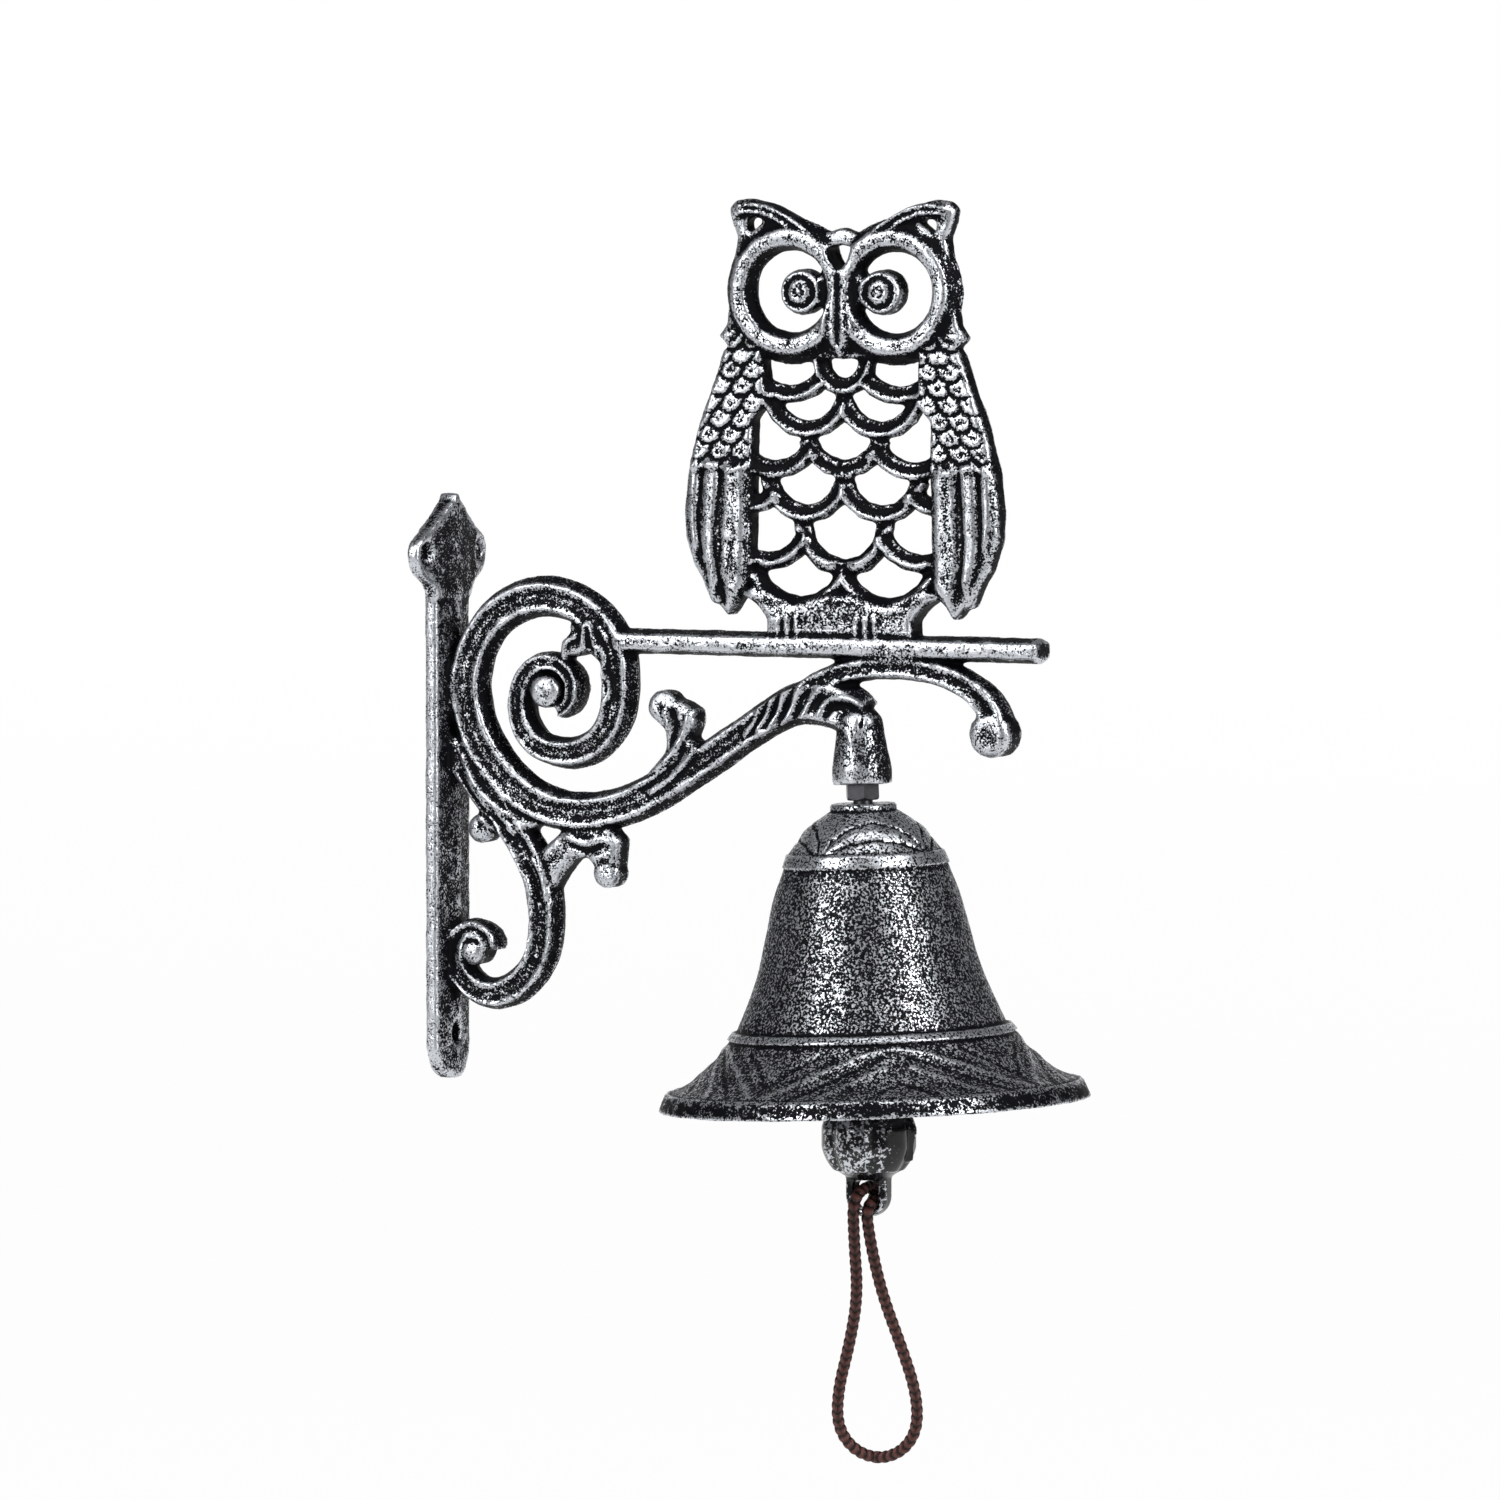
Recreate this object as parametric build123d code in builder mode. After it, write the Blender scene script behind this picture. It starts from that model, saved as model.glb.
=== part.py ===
"""Wall bell: a scrolled iron bracket with an openwork owl, a flared bell, a clapper and a pull cord.

Millimetres. +X points away from the wall, +Y across the wall plate, +Z up.
The origin is the middle of the wall plate's flat back.
"""

import os
from math import atan2, cos, degrees, pi, radians, sin, tan

from build123d import *

# Wall plate
plate_thickness = 3.3
plate_ridge = 5.1
strip_width = 19.0
head_width = 39.0
plate_length = 152.0
head_drop = 15.0
neck_drop = 27.0
tip_radius = 1.6
screw_hole_diameter = 4.6
screw_head_diameter = 6.4
screw_head_depth = 1.0
upper_seat_height = 3.9
upper_hole_spacing = 30.0
upper_hole_drop = 15.5
lower_hole_rise = 12.0

# Bracket casting, symmetrical about the plane Y = 0
casting_thickness = 10.0
crest_share = 0.62
groove_depth = 1.5

# Shelf bar
shelf_height = 38.7
shelf_start = 52.0
shelf_end = 171.3
shelf_middle_height = 6.8
shelf_face_height = 3.8

# Owl
owl_centre = 115.7
eye_height = 128.9
eye_spacing = 29.2
eye_opening_radius = 10.2
eye_ring_radius = 18.8
eye_crest_radius = 14.2
pupil_offset = 11.2
pupil_radius = 5.9
pupil_dome_radius = 2.9
pupil_step = 1.2
head_web_thickness = 5.4
breast_crest = 2.7
wing_thickness = 6.4
feather_crest = 4.4

# Hanging gear: everything here leans with the boss under the arm
hang_tilt = 2.5
hang_distance = 120.9
hang_height = -1.3
boss_radius = 7.6
boss_neck_radius = 5.6
boss_height = 24.0
boss_gap = 5.0
boss_hole_depth = 14.0
bolt_diameter = 5.0
bolt_engagement = 12.5
thread_clearance = 0.06
nut_across_flats = 8.0
nut_height = 4.1
nut_chamfer = 0.8
nut_face_inset = 0.2
washer_diameter = 12.0
washer_thickness = 1.2
washer_clearance = 0.3
eye_drop = 34.0
eye_radius = 4.4
eye_wire = 1.5
wire_facets = 8

# Bell
bell_height = 76.7
bell_wall = 3.4
bell_cap_radius = 8.5
bell_shoulder_radius = 20.0
bell_waist_radius = 35.0
bell_lip_radius = 52.4
bell_rim_radius = 55.2
bell_rim_height = 4.1
bell_hole_diameter = 6.2

# Clapper and its link
link_wire = 1.2
link_radius = 3.2
link_length = 10.3
play = 0.1
clapper_eye_radius = 3.6
clapper_eye_wire = 1.5
clapper_rod_diameter = 4.6
ball_radius = 12.2
ball_height = -86.5
lug_width = 11.4
lug_thickness = 4.4
lug_hole_width = 7.0
lug_hole_height = 7.6
lug_hole_middle = -101.1
lug_base = -107.0

# Pull cord
cord_diameter = 3.4
knot_width = 8.2
knot_depth = 6.6
knot_sag = 0.6
cord_tight_radius = 3.0
seat_gap = 0.3

half_casting = casting_thickness / 2
os.makedirs("parts", exist_ok=True)


def ribbon(points, half_widths, half_thickness):
    """A cast arm along a curve in the plane Y = 0: two crests with a groove between, front and back."""
    with BuildPart() as arm:
        with BuildLine() as centre:
            Spline(*[(x, 0, z) for x, z in points])
        route = centre.edges()[0]
        for step, half_width in enumerate(half_widths):
            station = step / (len(half_widths) - 1)
            crest = half_width * crest_share
            floor = half_thickness - groove_depth
            across = Plane(origin=route @ station, x_dir=(0, 1, 0), z_dir=route % station)
            with BuildSketch(across):
                with BuildLine():
                    Polyline(
                        (0, -half_width), (half_thickness, -crest), (floor, 0), (half_thickness, crest),
                        (0, half_width), (-half_thickness, crest), (-floor, 0), (-half_thickness, -crest),
                        close=True,
                    )
                make_face()
        sweep(path=centre.line, multisection=True)
    return arm.part


def drafted(outline, half_thickness, edge=1.2):
    """A flat piece of the casting: an outline in the plane Y = 0, with its edges eased on both faces."""
    with BuildPart() as casting:
        with BuildSketch(Plane.XZ):
            with BuildLine():
                Polyline(*outline, close=True)
            make_face()
        extrude(amount=half_thickness)
        chamfer(casting.faces().sort_by(Axis.Y)[0].edges(), length=edge)
        mirror(about=Plane.XZ)
    return casting.part


def disc(x, z, radius, half_thickness, sides=12, edge=1.3):
    """A round bud or eye lying in the bracket's plane, as an even outline with eased edges."""
    corners = [2 * pi * step / sides for step in range(sides)]
    return drafted([(x + radius * cos(turn), z + radius * sin(turn)) for turn in corners], half_thickness, edge)


def beside_owl(points, side):
    """Outline points given from the owl's middle line, placed on one side of it."""
    return [(owl_centre + side * across, height) for across, height in points]


# The plate's outline is a strip with a rounded foot and a leaf-shaped head.
plate_top = plate_length / 2
strip_half = strip_width / 2
head_half = head_width / 2
head_level = plate_top - head_drop
neck_level = plate_top - neck_drop


def roof(half_width):
    """The plate's section: flat back, square edges and two faces that rise to the middle ridge."""
    with BuildPart() as prism:
        with BuildSketch(Plane.XY.offset(-plate_top)):
            with BuildLine():
                Polyline((0, -half_width), (plate_thickness, -half_width), (plate_ridge, 0),
                         (plate_thickness, half_width), (0, half_width), close=True)
            make_face()
        extrude(amount=plate_length)
    return prism.part


strip_roof = roof(strip_half)
head_roof = roof(head_half)

with BuildPart() as strip:
    with BuildSketch(Plane.YZ):
        with BuildLine():
            Line((-strip_half, -plate_top + strip_half), (-strip_half, head_level))
            Line((-strip_half, head_level), (strip_half, head_level))
            Line((strip_half, head_level), (strip_half, -plate_top + strip_half))
            RadiusArc((strip_half, -plate_top + strip_half), (-strip_half, -plate_top + strip_half), strip_half)
        make_face()
    extrude(amount=plate_ridge)
    add(strip_roof, mode=Mode.INTERSECT)

with BuildPart() as head:
    with BuildSketch(Plane.YZ):
        with BuildLine():
            ThreePointArc((-tip_radius, plate_top - tip_radius), (0, plate_top),
                          (tip_radius, plate_top - tip_radius))
            Spline((tip_radius, plate_top - tip_radius), (head_half * 0.62, head_level + head_drop * 0.42),
                   (head_half, head_level), (head_half * 0.85, head_level - head_drop * 0.4),
                   (strip_half, neck_level), tangents=((1, -0.7), (-0.1, -1)))
            Line((strip_half, neck_level), (-strip_half, neck_level))
            Spline((-strip_half, neck_level), (-head_half * 0.85, head_level - head_drop * 0.4),
                   (-head_half, head_level), (-head_half * 0.62, head_level + head_drop * 0.42),
                   (-tip_radius, plate_top - tip_radius), tangents=((-0.1, 1), (1, 0.7)))
        make_face()
    extrude(amount=plate_ridge)
    add(head_roof, mode=Mode.INTERSECT)

with BuildPart() as wall_plate:
    add(strip.part)
    add(head.part)
    upper_hole_level = plate_top - upper_hole_drop
    lower_hole_level = -plate_top + lower_hole_rise
    upper_face = Plane(origin=(upper_seat_height, 0, upper_hole_level), x_dir=(0, 1, 0), z_dir=(1, 0, 0))
    with Locations(upper_face):
        with GridLocations(upper_hole_spacing, 1, 2, 1):
            CounterBoreHole(screw_hole_diameter / 2, screw_head_diameter / 2, screw_head_depth, plate_ridge * 2)
    lower_face = Plane(origin=(plate_ridge, 0, lower_hole_level), x_dir=(0, 1, 0), z_dir=(1, 0, 0))
    with Locations(lower_face):
        CounterBoreHole(screw_hole_diameter / 2, screw_head_diameter / 2, screw_head_depth, plate_ridge * 2)

# Scroll arms: centre line points in the bracket's plane, then half widths at even steps along them.
main_scroll = ribbon(
    [(121, 21), (113, 24), (104, 24), (96, 20.5), (87, 15), (77, 8.5), (66, 2), (54, -3.6), (41, -5.9),
     (29, -3.6), (18.5, 4), (11, 15), (8.7, 27), (11.8, 38), (19.5, 46.3), (31, 49.7), (42, 46.8), (49.6, 39.5), (52, 28), (50.4, 18),
     (44.5, 11.3), (36, 9.4), (28, 12), (24, 18.5), (24.2, 25.8), (28, 31.6), (33.5, 32.8), (38.6, 29.3),
     (39.2, 23.6), (35.2, 20)],
    [5.8, 5.6, 4.8, 5.2, 5.4, 5.5, 5.6, 5.6, 5.5, 5.4, 5.3, 5.0, 4.4, 3.6, 2.8, 2.0],
    half_casting,
)
arch = ribbon(
    [(101, 23), (108, 28.5), (117, 32.2), (130, 33.6), (143, 32.4), (152.5, 28.4), (158.2, 22), (158.6, 16.5)],
    [3.6, 3.4, 3.2, 3.4, 4.0, 4.6],
    half_casting - 0.3,
)
lower_arm = ribbon(
    [(12, 3.5), (17.5, -4.5), (23.5, -13), (28.8, -22.5), (30.5, -33), (29.2, -43), (23, -51), (14.5, -53.5),
     (7.5, -49.5), (5.4, -42.5), (8.6, -37.2), (13.6, -38), (15.4, -42)],
    [4.4, 4.6, 5.0, 5.2, 5.0, 4.8, 4.6, 4.2, 3.6, 3.0, 2.6],
    half_casting - 0.2,
)

with BuildPart() as shelf:
    with BuildSketch(Plane.YZ.offset(shelf_start)):
        with BuildLine():
            Polyline(
                (-half_casting, shelf_height - shelf_face_height / 2),
                (-half_casting, shelf_height + shelf_face_height / 2),
                (0, shelf_height + shelf_middle_height / 2), (half_casting, shelf_height + shelf_face_height / 2),
                (half_casting, shelf_height - shelf_face_height / 2), (0, shelf_height - shelf_middle_height / 2),
                close=True,
            )
        make_face()
    extrude(amount=shelf_end - shelf_start)

# Leaf sprays and buds that join the arms
sprays = [
    drafted([(12, 10), (15.5, 2), (22, -4), (30, -9), (24, -13), (18, -10.5), (13, -7), (9.5, -3), (4, 4), (4, 14)],
            half_casting - 0.7),
    drafted([(61, 5), (66.5, 11), (66.5, 16), (63, 19), (66, 24.5), (71, 23.6), (74.8, 21.5), (75, 18), (73.5, 14.5),
             (77, 12), (72, 5)], half_casting - 0.6),
    drafted([(30, -16), (36.5, -10.5), (42, -9), (50, -9.2), (53.2, -12.5), (52.6, -19), (46, -20), (43.8, -17.4),
             (40, -17.8), (36.6, -22), (34, -26)], half_casting - 0.8),
    drafted([(36, 34), (41, 34.5), (44, 35.5), (47.5, 33), (52, 40), (44, 46), (38.6, 42.8), (38.8, 40.4), (36, 38.2)],
            half_casting - 0.9),
]
buds = [
    disc(12.9, -10.6, 3.9, half_casting - 0.6),
    disc(65.4, 22.2, 4.3, half_casting - 0.5),
    disc(49.1, -21.4, 3.8, half_casting - 0.7),
    disc(31.9, 25.2, 4.4, half_casting + 0.1),
    disc(10.8, -42.9, 3.4, half_casting),
    disc(158, 17.2, 5.9, half_casting + 0.1),
]

# Owl: head web with ears, beak, eye rings and pupils
eye_side = eye_spacing / 2
head_points = [(0, 145.3), (4.5, 143.9), (8.4, 144.8), (12.5, 147.3), (18, 150.2), (26, 152.6), (30, 152),
               (31.8, 150), (31, 146.5), (29.6, 142.6), (30.5, 136)]
cheek_points = [(32.6, 120.5), (35, 117.4), (33, 115.6), (31, 113), (20, 112), (7.5, 112)]
head_outline = (beside_owl(head_points + cheek_points, 1)
                + beside_owl((head_points + cheek_points)[:0:-1], -1))

ear_hole = [(20.5, 147.7), (26.6, 147.5), (26.4, 143.4)]
forehead_hole = [(-3.6, 140.2), (0, 141.0), (3.6, 140.2), (2.8, 137.4), (0.7, 134.6), (-0.7, 134.6), (-2.8, 137.4)]

with BuildPart() as owl_head:
    add(drafted(head_outline, head_web_thickness / 2, 0.8))
    with BuildSketch(Plane.XZ.offset(-half_casting)):
        with Locations((owl_centre - eye_side, eye_height), (owl_centre + eye_side, eye_height)):
            Circle((eye_opening_radius + eye_ring_radius) / 2)
        for hole in (beside_owl(ear_hole, -1), beside_owl(ear_hole, 1)):
            with BuildLine():
                Polyline(*hole, close=True)
            make_face()
    extrude(amount=casting_thickness, mode=Mode.SUBTRACT)

with BuildPart() as eye_ring:
    with BuildSketch(Plane.XY):
        with BuildLine():
            Polyline((eye_opening_radius, 0), (eye_crest_radius - 2.2, half_casting - 0.3),
                     (eye_crest_radius + 1.2, half_casting), (eye_ring_radius, 0),
                     (eye_crest_radius + 1.2, -half_casting), (eye_crest_radius - 2.2, 0.3 - half_casting),
                     close=True)
        make_face()
    revolve(axis=Axis.Y)

pupils = []
for side in (-1, 1):
    pupil_middle = owl_centre + side * pupil_offset
    pupils.append(disc(pupil_middle, eye_height, pupil_radius, half_casting - pupil_step, sides=16))
    pupils.append(disc(pupil_middle, eye_height, pupil_dome_radius, half_casting - pupil_step / 3, edge=0.9))
stalks = [drafted(beside_owl([(3, 124.5), (8.5, 125.6), (8.5, 132.4), (3, 135)], side), half_casting - 1.6)
          for side in (-1, 1)]
beak = drafted(beside_owl([(0, 136.5), (2.6, 133), (3.4, 126), (5.2, 119), (3.2, 115), (0, 111.5), (-3.2, 115),
                           (-5.2, 119), (-3.4, 126), (-2.6, 133)], 1), half_casting, 2.0)
brows = [
    ribbon([(owl_centre + side * across, height) for across, height in
            ((29.5, 149.5), (21, 149.6), (12.5, 145.4), (6, 140.6), (2.6, 134), (1.6, 126), (1.4, 119))],
           [1.6, 1.9, 1.9, 1.7, 1.5, 1.2], half_casting - 0.5)
    for side in (-1, 1)
]

# Owl: breast scales, each an arc that hangs from the scales above it: across, lowest point, half width, rise
breast_scales = [
    (0, 104.6, 6.5, 7.0), (-15.5, 102.6, 9.5, 4.2), (15.5, 102.6, 9.5, 4.2),
    (-10.2, 93.6, 10.6, 8.0), (10.2, 93.6, 10.6, 8.0),
    (0, 83.8, 10.6, 7.6), (-19.6, 83.4, 10.4, 5.6), (19.6, 83.4, 10.4, 5.6),
    (-10.6, 72.2, 10.8, 8.8), (10.6, 72.2, 10.8, 8.8), (-24.6, 74.6, 4.8, 3.6), (24.6, 74.6, 4.8, 3.6),
    (0, 58.4, 11.8, 11.4), (-21.6, 59.9, 10.6, 6.2), (21.6, 59.9, 10.6, 6.2),
    (-12.4, 48.8, 13.2, 8.8), (12.4, 48.8, 13.2, 8.8),
]
scale_lip = 2.3
scale_root = 2.4
scale_facets = 6


def breast_scale(across, lowest, half_width, rise):
    """One scale's bar: a band round part of a circle, hanging from the scales above it."""
    radius = (half_width ** 2 + rise ** 2) / (2 * rise)
    reach = atan2(half_width, radius - rise)
    turns = [reach * (2 * step / scale_facets - 1) for step in range(scale_facets + 1)]
    lip = [(across + (radius + scale_lip) * sin(turn), lowest + radius - (radius + scale_lip) * cos(turn))
           for turn in turns]
    root = [(across + (radius - scale_root) * sin(turn), lowest + radius - (radius - scale_root) * cos(turn))
            for turn in reversed(turns)]
    return drafted(beside_owl(lip + root, 1), breast_crest, 1.5)


scales = [breast_scale(*scale) for scale in breast_scales]

# Owl: wings with three long feathers each, and the block that stands on the shelf
wing_points = [(33.2, 114), (37, 103), (40.4, 94.7), (43.3, 82.5), (44.4, 73.6), (44, 66), (41.6, 58.6), (39.2, 55),
               (36.8, 49.2), (34.6, 48.8), (31.8, 45.6), (29.4, 49), (27, 52), (25.6, 60), (25.2, 80), (25, 96),
               (21, 101), (21.5, 108), (22, 114)]
feathers = [
    [(26, 84), (33, 86), (34.4, 60), (31.8, 46.2), (26.4, 54)],
    [(33.4, 86), (38.6, 87), (39.8, 62), (36, 49.6), (33.2, 56)],
    [(39, 88), (42.4, 86), (43.6, 72), (41.4, 59.4), (39.2, 64)],
]
wings = []
for side in (-1, 1):
    wings.append(drafted(beside_owl(wing_points, side), wing_thickness / 2, 0.8))
    wings += [drafted(beside_owl(feather, side), feather_crest, 1.4) for feather in feathers]
foot_points = [(20.6, 41.5), (20.4, 45.4), (23, 48.6), (27.6, 51.6), (24, 54), (13, 49.6), (3, 52)]
owl_foot = drafted(beside_owl(foot_points, 1) + beside_owl(foot_points[::-1], -1), half_casting - 0.6, 1.0)

# Boss: the arm's end turned down to hold the bell
hang_turn = radians(hang_tilt)
hang = Plane(origin=(hang_distance, 0, hang_height), x_dir=(cos(hang_turn), 0, sin(hang_turn)),
             z_dir=(-sin(hang_turn), 0, cos(hang_turn)))
boss_top = boss_gap + boss_height
bolt_top = boss_gap + bolt_engagement
bolt_radius = bolt_diameter / 2

hang_section = Plane(hang.origin, x_dir=hang.x_dir, z_dir=(0, -1, 0))
hang_axis = Axis(hang.origin, hang.z_dir)

with BuildPart() as boss:
    with BuildSketch(hang_section):
        with BuildLine():
            Polyline((0, boss_gap), (boss_radius, boss_gap), (boss_radius, boss_gap + nut_height),
                     (boss_neck_radius, boss_gap + boss_height * 0.7), (0, boss_top), close=True)
        make_face()
    revolve(axis=hang_axis)

with BuildPart() as bracket_casting:
    add(wall_plate.part)
    add([main_scroll, arch, lower_arm, shelf.part, boss.part])
    add(sprays + buds)
    add(owl_head.part)
    for side in (-1, 1):
        add(eye_ring.part.moved(Location((owl_centre + side * eye_side, 0, eye_height))))
    add([beak] + pupils + brows + stalks)
    add(scales)
    add(wings + [owl_foot])
    with BuildSketch(Plane.XZ.offset(-half_casting)):
        with BuildLine():
            Polyline(*beside_owl(forehead_hole, 1), close=True)
        make_face()
    extrude(amount=casting_thickness, mode=Mode.SUBTRACT)
    with Locations(hang.offset(boss_gap)):
        Cylinder(bolt_radius + thread_clearance, boss_hole_depth, align=(Align.CENTER, Align.CENTER, Align.MIN),
                 mode=Mode.SUBTRACT)
bracket_casting.part.label = "bracket_casting"
export_step(bracket_casting.part, "parts/bracket_casting.step")

# Lock nut under the boss, and the nut that carries the bell from inside
across_corners = nut_across_flats / cos(pi / 6)


def hex_nut(base):
    """A hexagon nut about the hanging axis, its lower edges chamfered; base is its lower face's height."""
    with BuildPart() as nut:
        with BuildSketch(hang.offset(base)):
            RegularPolygon(nut_across_flats / 2, 6, major_radius=False)
            Circle(bolt_radius + thread_clearance, mode=Mode.SUBTRACT)
        extrude(amount=nut_height)
        with BuildSketch(hang_section):
            with BuildLine():
                Polyline((0, base), (nut_across_flats / 2 - nut_face_inset, base),
                         (across_corners / 2, base + nut_chamfer), (across_corners / 2, base + nut_height),
                         (0, base + nut_height), close=True)
            make_face()
        revolve(axis=hang_axis, mode=Mode.INTERSECT)
    return nut.part


lock_nut = hex_nut(boss_gap - nut_height)
lock_nut.label = "lock_nut"
export_step(lock_nut, "parts/lock_nut.step")

washer_base = -(bell_wall + washer_thickness)
bell_nut = hex_nut(washer_base - nut_height)
bell_nut.label = "bell_nut"
export_step(bell_nut, "parts/bell_nut.step")

with BuildPart() as bell_washer:
    with BuildSketch(hang.offset(washer_base)):
        Circle(washer_diameter / 2)
        Circle(bolt_radius + washer_clearance, mode=Mode.SUBTRACT)
    extrude(amount=washer_thickness)
bell_washer.part.label = "bell_washer"
export_step(bell_washer.part, "parts/bell_washer.step")

# Eye bolt: a threaded shank with a closed eye inside the bell
shank_length = bolt_top + eye_drop - eye_radius
with BuildPart() as eye_bolt:
    with Locations(hang.offset(bolt_top)):
        Cylinder(bolt_radius, shank_length, align=(Align.CENTER, Align.CENTER, Align.MAX))
    with BuildSketch(Plane(hang.from_local_coords((0, 0, -eye_drop)), x_dir=(0, 1, 0), z_dir=hang.x_dir)):
        with Locations((0, eye_radius)):
            RegularPolygon(eye_wire, wire_facets)
    revolve(axis=Axis(hang.from_local_coords((0, 0, -eye_drop)), (0, 1, 0)))
eye_bolt.part.label = "eye_bolt"
export_step(eye_bolt.part, "parts/eye_bolt.step")

# Bell: its outline runs down the outside from the cap, then up the inside from the rim
shoulder_depth = 12.1
band_depth = 3.8
waist_depth = 57.0
waist_band_depth = 2.4
lip_depth = bell_height - bell_rim_height
crown_curve = [(0.27, 0.14), (0.53, 0.38), (0.79, 0.65)]
body_curve = [(0.13, 0.1), (0.23, 0.21), (0.4, 0.45), (0.59, 0.68), (0.75, 0.83)]
flare_curve = [(0.26, 0.375), (0.44, 0.59), (0.64, 0.78), (0.82, 0.91)]
inside_curve = [(0.099, 0.057), (0.215, 0.153), (0.303, 0.289), (0.354, 0.422), (0.413, 0.551), (0.538, 0.737),
                (0.677, 0.851), (0.834, 0.928)]


def swept_between(start, end, shares):
    """Points from start to end, those between given as shares of the way out and of the way down."""
    return [start] + [(start[0] + (end[0] - start[0]) * out, start[1] + (end[1] - start[1]) * down)
                      for out, down in shares] + [end]


cap_edge = (bell_cap_radius + 0.8, -2.2)
shoulder = (bell_shoulder_radius - 0.6, -shoulder_depth)
body_top = (bell_shoulder_radius + 1.0, -shoulder_depth - band_depth)
waist = (bell_waist_radius - 0.6, -waist_depth)
flare_top = (bell_waist_radius + 1.4, -waist_depth - waist_band_depth)
lip = (bell_lip_radius - 0.4, -lip_depth + 0.4)
rim_inside = (bell_rim_radius - bell_wall, -bell_height)
roof_inside = (bell_cap_radius - 1.3, -bell_wall)
with BuildPart() as bell:
    with BuildSketch(hang_section):
        with BuildLine():
            Polyline(
                (bell_hole_diameter / 2, 0), (bell_cap_radius, 0), (bell_cap_radius, -1.8),
                *swept_between(cap_edge, shoulder, crown_curve),
                (bell_shoulder_radius + 0.2, shoulder[1] - 0.4), (bell_shoulder_radius + 1.4, body_top[1] + 0.4),
                *swept_between(body_top, waist, body_curve),
                (bell_waist_radius + 0.7, waist[1] - 0.2), (bell_waist_radius + 2.0, flare_top[1] + 0.6),
                *swept_between(flare_top, lip, flare_curve),
                (bell_lip_radius + 0.8, lip[1] + 0.2), (bell_rim_radius, -bell_height + 0.3),
                *swept_between(roof_inside, rim_inside, inside_curve)[::-1],
                (bell_hole_diameter / 2, -bell_wall), close=True,
            )
        make_face()
    revolve(axis=hang_axis)
bell.part.label = "bell"
export_step(bell.part, "parts/bell.step")

# Link: an oblong ring through the bolt's eye, hanging plumb
pivot = hang.from_local_coords((0, 0, -(eye_drop + eye_radius)))
link_top = pivot.Z + eye_wire + link_wire + play
link_base = link_top - link_length
with BuildPart() as clapper_link:
    with BuildLine() as link_route:
        upper = (pivot.X, 0, link_top - link_radius)
        lower = (pivot.X, 0, link_base + link_radius)
        top_arc = ThreePointArc((pivot.X, -link_radius, upper[2]), (pivot.X, 0, link_top),
                                (pivot.X, link_radius, upper[2]))
        Line(top_arc @ 1, (pivot.X, link_radius, lower[2]))
        base_arc = ThreePointArc((pivot.X, link_radius, lower[2]), (pivot.X, 0, link_base),
                                 (pivot.X, -link_radius, lower[2]))
        Line(base_arc @ 1, top_arc @ 0)
    with BuildSketch(Plane(top_arc @ 0, x_dir=(1, 0, 0), z_dir=(0, 0, 1))):
        RegularPolygon(link_wire, wire_facets)
    sweep(path=link_route.line)
clapper_link.part.label = "clapper_link"
export_step(clapper_link.part, "parts/clapper_link.step")

# Clapper: eye, rod, ball and the lug for the cord, cast as one piece and hanging plumb
clapper_eye_middle = link_base + clapper_eye_wire + link_wire + play - clapper_eye_radius
rod_radius = clapper_rod_diameter / 2
lug_half = lug_width / 2
ball_curve = [(0.4, 0.93), (0.7, 0.73), (0.92, 0.4), (1.0, 0.0), (0.95, -0.34), (0.78, -0.64)]
with BuildPart() as clapper:
    with BuildSketch(Plane((pivot.X, 0, clapper_eye_middle), x_dir=(0, 1, 0), z_dir=(1, 0, 0))):
        with Locations((0, clapper_eye_radius)):
            RegularPolygon(clapper_eye_wire, wire_facets)
    revolve(axis=Axis((pivot.X, 0, clapper_eye_middle), (0, 1, 0)))
    with BuildSketch(Plane((pivot.X, 0, 0), x_dir=(1, 0, 0), z_dir=(0, -1, 0))):
        with BuildLine():
            rod_top = clapper_eye_middle - clapper_eye_radius
            Polyline((0, rod_top), (rod_radius, rod_top), (rod_radius, ball_height + ball_radius + 1.2),
                     *[(ball_radius * out, ball_height + ball_radius * up) for out, up in ball_curve],
                     (lug_half * 0.82, ball_height - ball_radius + 1.4), (0, ball_height - ball_radius + 1.4),
                     close=True)
        make_face()
    revolve(axis=Axis((pivot.X, 0, 0), (0, 0, 1)))
    with BuildSketch(Plane((pivot.X, 0, 0), x_dir=(1, 0, 0), z_dir=(0, -1, 0))):
        with Locations((0, lug_base + lug_half)):
            Circle(lug_half)
            Rectangle(lug_width, lug_half + 5.0, align=(Align.CENTER, Align.MIN))
        with Locations((0, lug_hole_middle)):
            RectangleRounded(lug_hole_width, lug_hole_height, lug_hole_width * 0.3, mode=Mode.SUBTRACT)
    extrude(amount=lug_thickness / 2, both=True)
clapper.part.label = "clapper"
export_step(clapper.part, "parts/clapper.step")

# Pull cord: one loop whose two strands pass through the lug to a knot behind it; points are chosen by hand
cord_points = [
    (-1.0, 4.2, -99.4), (-1.0, -7.6, -99.5), (-0.8, -7.0, -113.0), (-0.4, -5.6, -126.6), (-3.2, -4.8, -139.6),
    (-6.4, -4.6, -150.8), (-6.8, -4.6, -160.2), (-2.5, -4.6, -166.2), (4.6, -4.6, -168.5), (11.7, -4.6, -166.2),
    (16.0, -4.6, -160.2), (15.6, -4.6, -150.8), (11.4, -4.5, -139.4), (6.0, -4.4, -126.6), (2.6, -4.6, -113.2),
    (1.2, -4.8, -102.4), (1.2, 4.2, -102.4),
]
tight_corner = len(cord_points) - 2
route = [Vector(pivot.X + x, y, z) for x, y, z in cord_points]
radii = []
for index in range(1, len(route) - 1):
    before, after = route[index] - route[index - 1], route[index + 1] - route[index]
    turn = radians(before.get_angle(after))
    radius = 0.45 * min(before.length, after.length) / tan(turn / 2)
    radii.append(cord_tight_radius if index == tight_corner else radius)
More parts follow.
